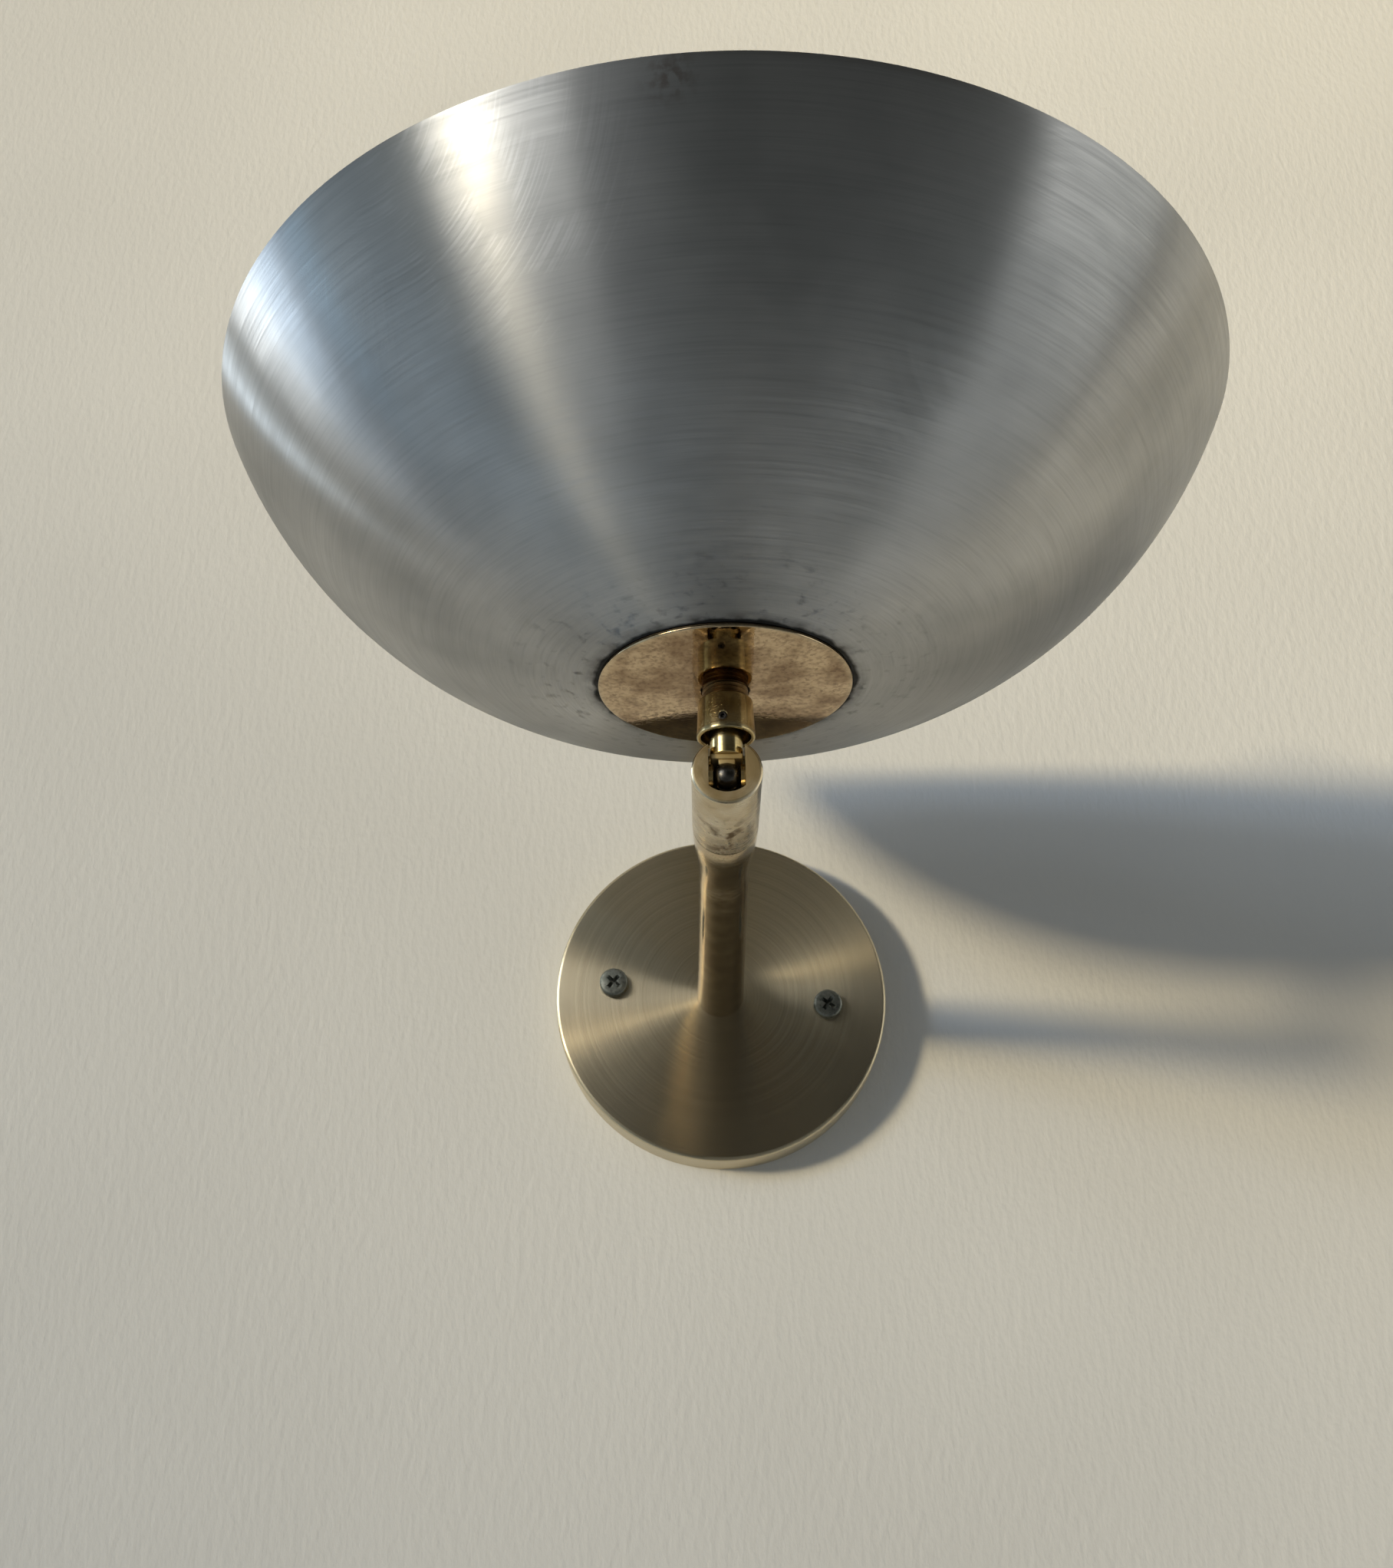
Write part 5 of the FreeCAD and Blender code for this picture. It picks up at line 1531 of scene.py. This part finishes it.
LAMPS: tuple[Lamp, ...] = (
    # Low sun and sky on the wall, which give its gradient and the two tones of the shadow.
    Lamp("sun", Use.MATT, -47.0, 4.7, 7.5, 7.5, 5050.0, "ffebbf", LAMP_FAR, aim=(890.0, 0.0, 650.0),
         cone=17.0),
    Lamp("sky", Use.MATT, -50.0, 10.0, 8.0, 8.0, 850.0, "c8defb", LAMP_FAR, aim=(200.0, 0.0, 100.0),
         cone=11.0),
    Lamp("broad_sky", Use.MATT, -46.0, 14.0, 26.0, 22.0, 168.0, "cfe2fa", LAMP_FAR),
    # The windows behind them, which the metals draw out into the warm streak.
    Lamp("glint", Use.GLOSS, -47.0, 3.2, 3.4, 3.4, 8.0, "fff0cf"),
    Lamp("low_window", Use.GLOSS, -48.5, 4.5, 13.0, 11.0, 9.0, "ffedcc"),
    Lamp("high_window", Use.GLOSS, -48.5, 18.0, 14.0, 16.0, 14.0, "f3f6f8"),
    Lamp("glow", Use.GLOSS, -36.0, 12.0, 16.0, 26.0, 13.0, "f2f1ec"),
    # Pale things close to both sides of the bowl.
    Lamp("edge_glow", Use.GLOSS, -103.0, 23.0, 12.0, 38.0, 0.16, "f2f8fb", 300.0, BOWL_LEFT),
    Lamp("edge_line", Use.GLOSS, -119.0, 16.0, 4.0, 36.0, 0.030, "e2f2ff", 220.0, BOWL_LEFT),
    Lamp("left_card", Use.GLOSS, -100.0, 14.0, 11.5, 30.0, 0.54, "cfe7ff", 690.0, (-110.0, -200.0, 64.0)),
    Lamp("right_card", Use.GLOSS, 100.0, 5.0, 11.5, 44.0, 0.10, "fbf8f0", 690.0, (110.0, -200.0, 64.0)),
)


@dataclass
class Studio:
    """Wall, floor, lamps and the light of the room."""

    # The wall's distance from the plate and the hole in it, and the floor.
    wall_gap: float = 0.3
    wall_hole: float = 49.4
    wall_radius: float = 3200.0
    floor_level: float = -1150.0
    floor_half: float = 4200.0
    # What matt surfaces see, what the camera sees, and for gloss its level and what lies overhead.
    ambient: str = "8e9294"
    pale: str = "e4e3e0"
    gloss_level: float = 1.5
    top_share: float = 0.55
    top: str = "45423c"
    # How far the view rises, 0 for level and 1 for straight up, where low, horizon and top meet.
    low_rise: Pair = (-0.52, 0.0)
    top_rise: Pair = (0.24, 0.36)
    # What gloss sees once round, level and below: bearing from -Y towards +X, and colour.
    horizon: Stops = (
        (-100.0, "c4e0f8"), (-91.0, "a8c9e2"), (-86.0, "848b8e"), (-70.0, "7c8284"), (-63.0, "8b908f"),
        (-59.5, "959998"), (-57.5, "c6cbc8"), (-52.0, "fffdf2"), (-43.0, "fffaec"), (-38.0, "cbcbc7"),
        (-31.0, "bcbdbb"), (-27.0, "a2a4a4"), (-22.0, "8b8d8d"), (-15.0, "747676"), (-8.0, "4e504f"),
        (0.0, "2b2c2b"), (45.0, "1f1f1e"), (60.0, "383937"), (63.0, "a0a19e"), (66.0, "eeeeea"),
        (85.0, "e6e6e0"), (110.0, "d4d4ce"))
    low: Stops = (
        (-120.0, "9dabb6"), (-100.0, "a3b8c9"), (-82.0, "98aab8"), (-70.0, "747c80"), (-58.0, "6c6e6c"),
        (-44.0, "575857"), (-30.0, "4c4d4c"), (-10.0, "4e504f"), (40.0, "525453"), (62.0, "5c5f5e"),
        (74.0, "949898"), (110.0, "9a9c9c"))

    def wall(self) -> Piece:
        """The wall, facing the room, with a hole that the wall plate covers.

        Returns:
            The wall.
        """
        alone()
        middle = (0.0, self.wall_gap * MM, 0.0)
        bpy.ops.mesh.primitive_circle_add(vertices=96, radius=self.wall_hole * MM, fill_type="NOTHING",
                                          location=middle, rotation=(math.pi / 2, 0.0, 0.0))
        wall = fresh("wall")
        edit_all(wall)
        bpy.ops.mesh.extrude_edges_move()
        bpy.ops.transform.resize(value=[self.wall_radius / self.wall_hole] * 3, center_override=middle)
        bpy.ops.object.mode_set(mode="OBJECT")
        if wall.data.polygons[0].normal.y > 0:
            edit_all(wall)
            bpy.ops.mesh.flip_normals()
            bpy.ops.object.mode_set(mode="OBJECT")
        return wall

    def floor(self) -> Piece:
        """A plain pale floor, well below the light.

        Returns:
            The floor.
        """
        alone()
        middle = (0.0, 0.0, self.floor_level * MM)
        bpy.ops.mesh.primitive_plane_add(size=2 * self.floor_half * MM, location=middle)
        floor = fresh("floor")
        floor.visible_glossy = False
        return floor

    def ring(self, tree: Tree, bearing: Socket, stops: Stops) -> Socket:
        """Colours of the room once round.

        Args:
            tree: The world's tree.
            bearing: Share of the full turn, with -Y in the middle.
            stops: Bearing and colour.

        Returns:
            The colour at the bearing.
        """
        colour = add(tree, "ValToRGB", {0: bearing})
        ramp = colour.node.color_ramp
        for place, code in stops:
            ramp.elements.new(place / 360 + 0.5).color = linear(code)
        for end in (0, -1):
            ramp.elements[end].color = linear(stops[end][1])
        return colour

    def room_light(self) -> None:
        """The room: an even soft level, and for gloss its pale sides and its darker end."""
        world = bpy.data.worlds.new("room")
        world.use_nodes = True
        bpy.context.scene.world = world
        tree = world.node_tree
        away = add(tree, "TexCoord", output="Generated")
        side, depth, rise = add(tree, "SeparateXYZ", {0: away}).node.outputs
        forward = add(tree, "Math", {0: depth, 1: -1.0}, operation="MULTIPLY")
        bearing = add(tree, "Math", {0: side, 1: forward}, operation="ARCTAN2")
        bearing = add(tree, "MapRange", {0: bearing, 1: -math.pi, 2: math.pi})
        horizon, low = (self.ring(tree, bearing, stops) for stops in (self.horizon, self.low))
        top = add(tree, "Mix", {0: self.top_share, 6: linear(self.top), 7: horizon}, 2, data_type="RGBA")
        path = add(tree, "LightPath").node.outputs
        shiny = add(tree, "Math", {0: path["Is Glossy Ray"], 1: path["Is Transmission Ray"]},
                    operation="MAXIMUM")
        gloss = low
        for (start, end), above in ((self.low_rise, horizon), (self.top_rise, top)):
            share = add(tree, "MapRange", {0: rise, 1: start, 2: end}, interpolation_type="SMOOTHSTEP")
            gloss = add(tree, "Mix", {0: share, 6: gloss, 7: above}, 2, data_type="RGBA")
        seen = linear(self.ambient)
        for share, other in ((shiny, gloss), (path["Is Camera Ray"], linear(self.pale))):
            seen = add(tree, "Mix", {0: share, 6: seen, 7: other}, 2, data_type="RGBA")
        level = add(tree, "MapRange", {0: shiny, 3: 1.0, 4: self.gloss_level})
        tree.links.new(seen, tree.nodes["Background"].inputs["Color"])
        tree.links.new(level, tree.nodes["Background"].inputs["Strength"])

    def build(self) -> None:
        """Set up everything round the light."""
        wall, floor = self.wall(), self.floor()
        dress(wall, Finish.WALL)
        dress(floor, Finish.FLOOR)
        for lamp in LAMPS:
            lamp.build()
        self.room_light()
        bpy.context.scene.view_settings.view_transform = "Standard"


def main() -> None:
    """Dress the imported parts, build the modelled pieces and set up the studio."""
    logging.basicConfig(level=logging.INFO, format="%(name)s %(message)s")
    for group in (PackedPieces, WallSide, KnuckleEnd, Shade, SmallParts, Camera, Studio):
        group().build()
    alone()


if __name__ == "__main__":
    main()
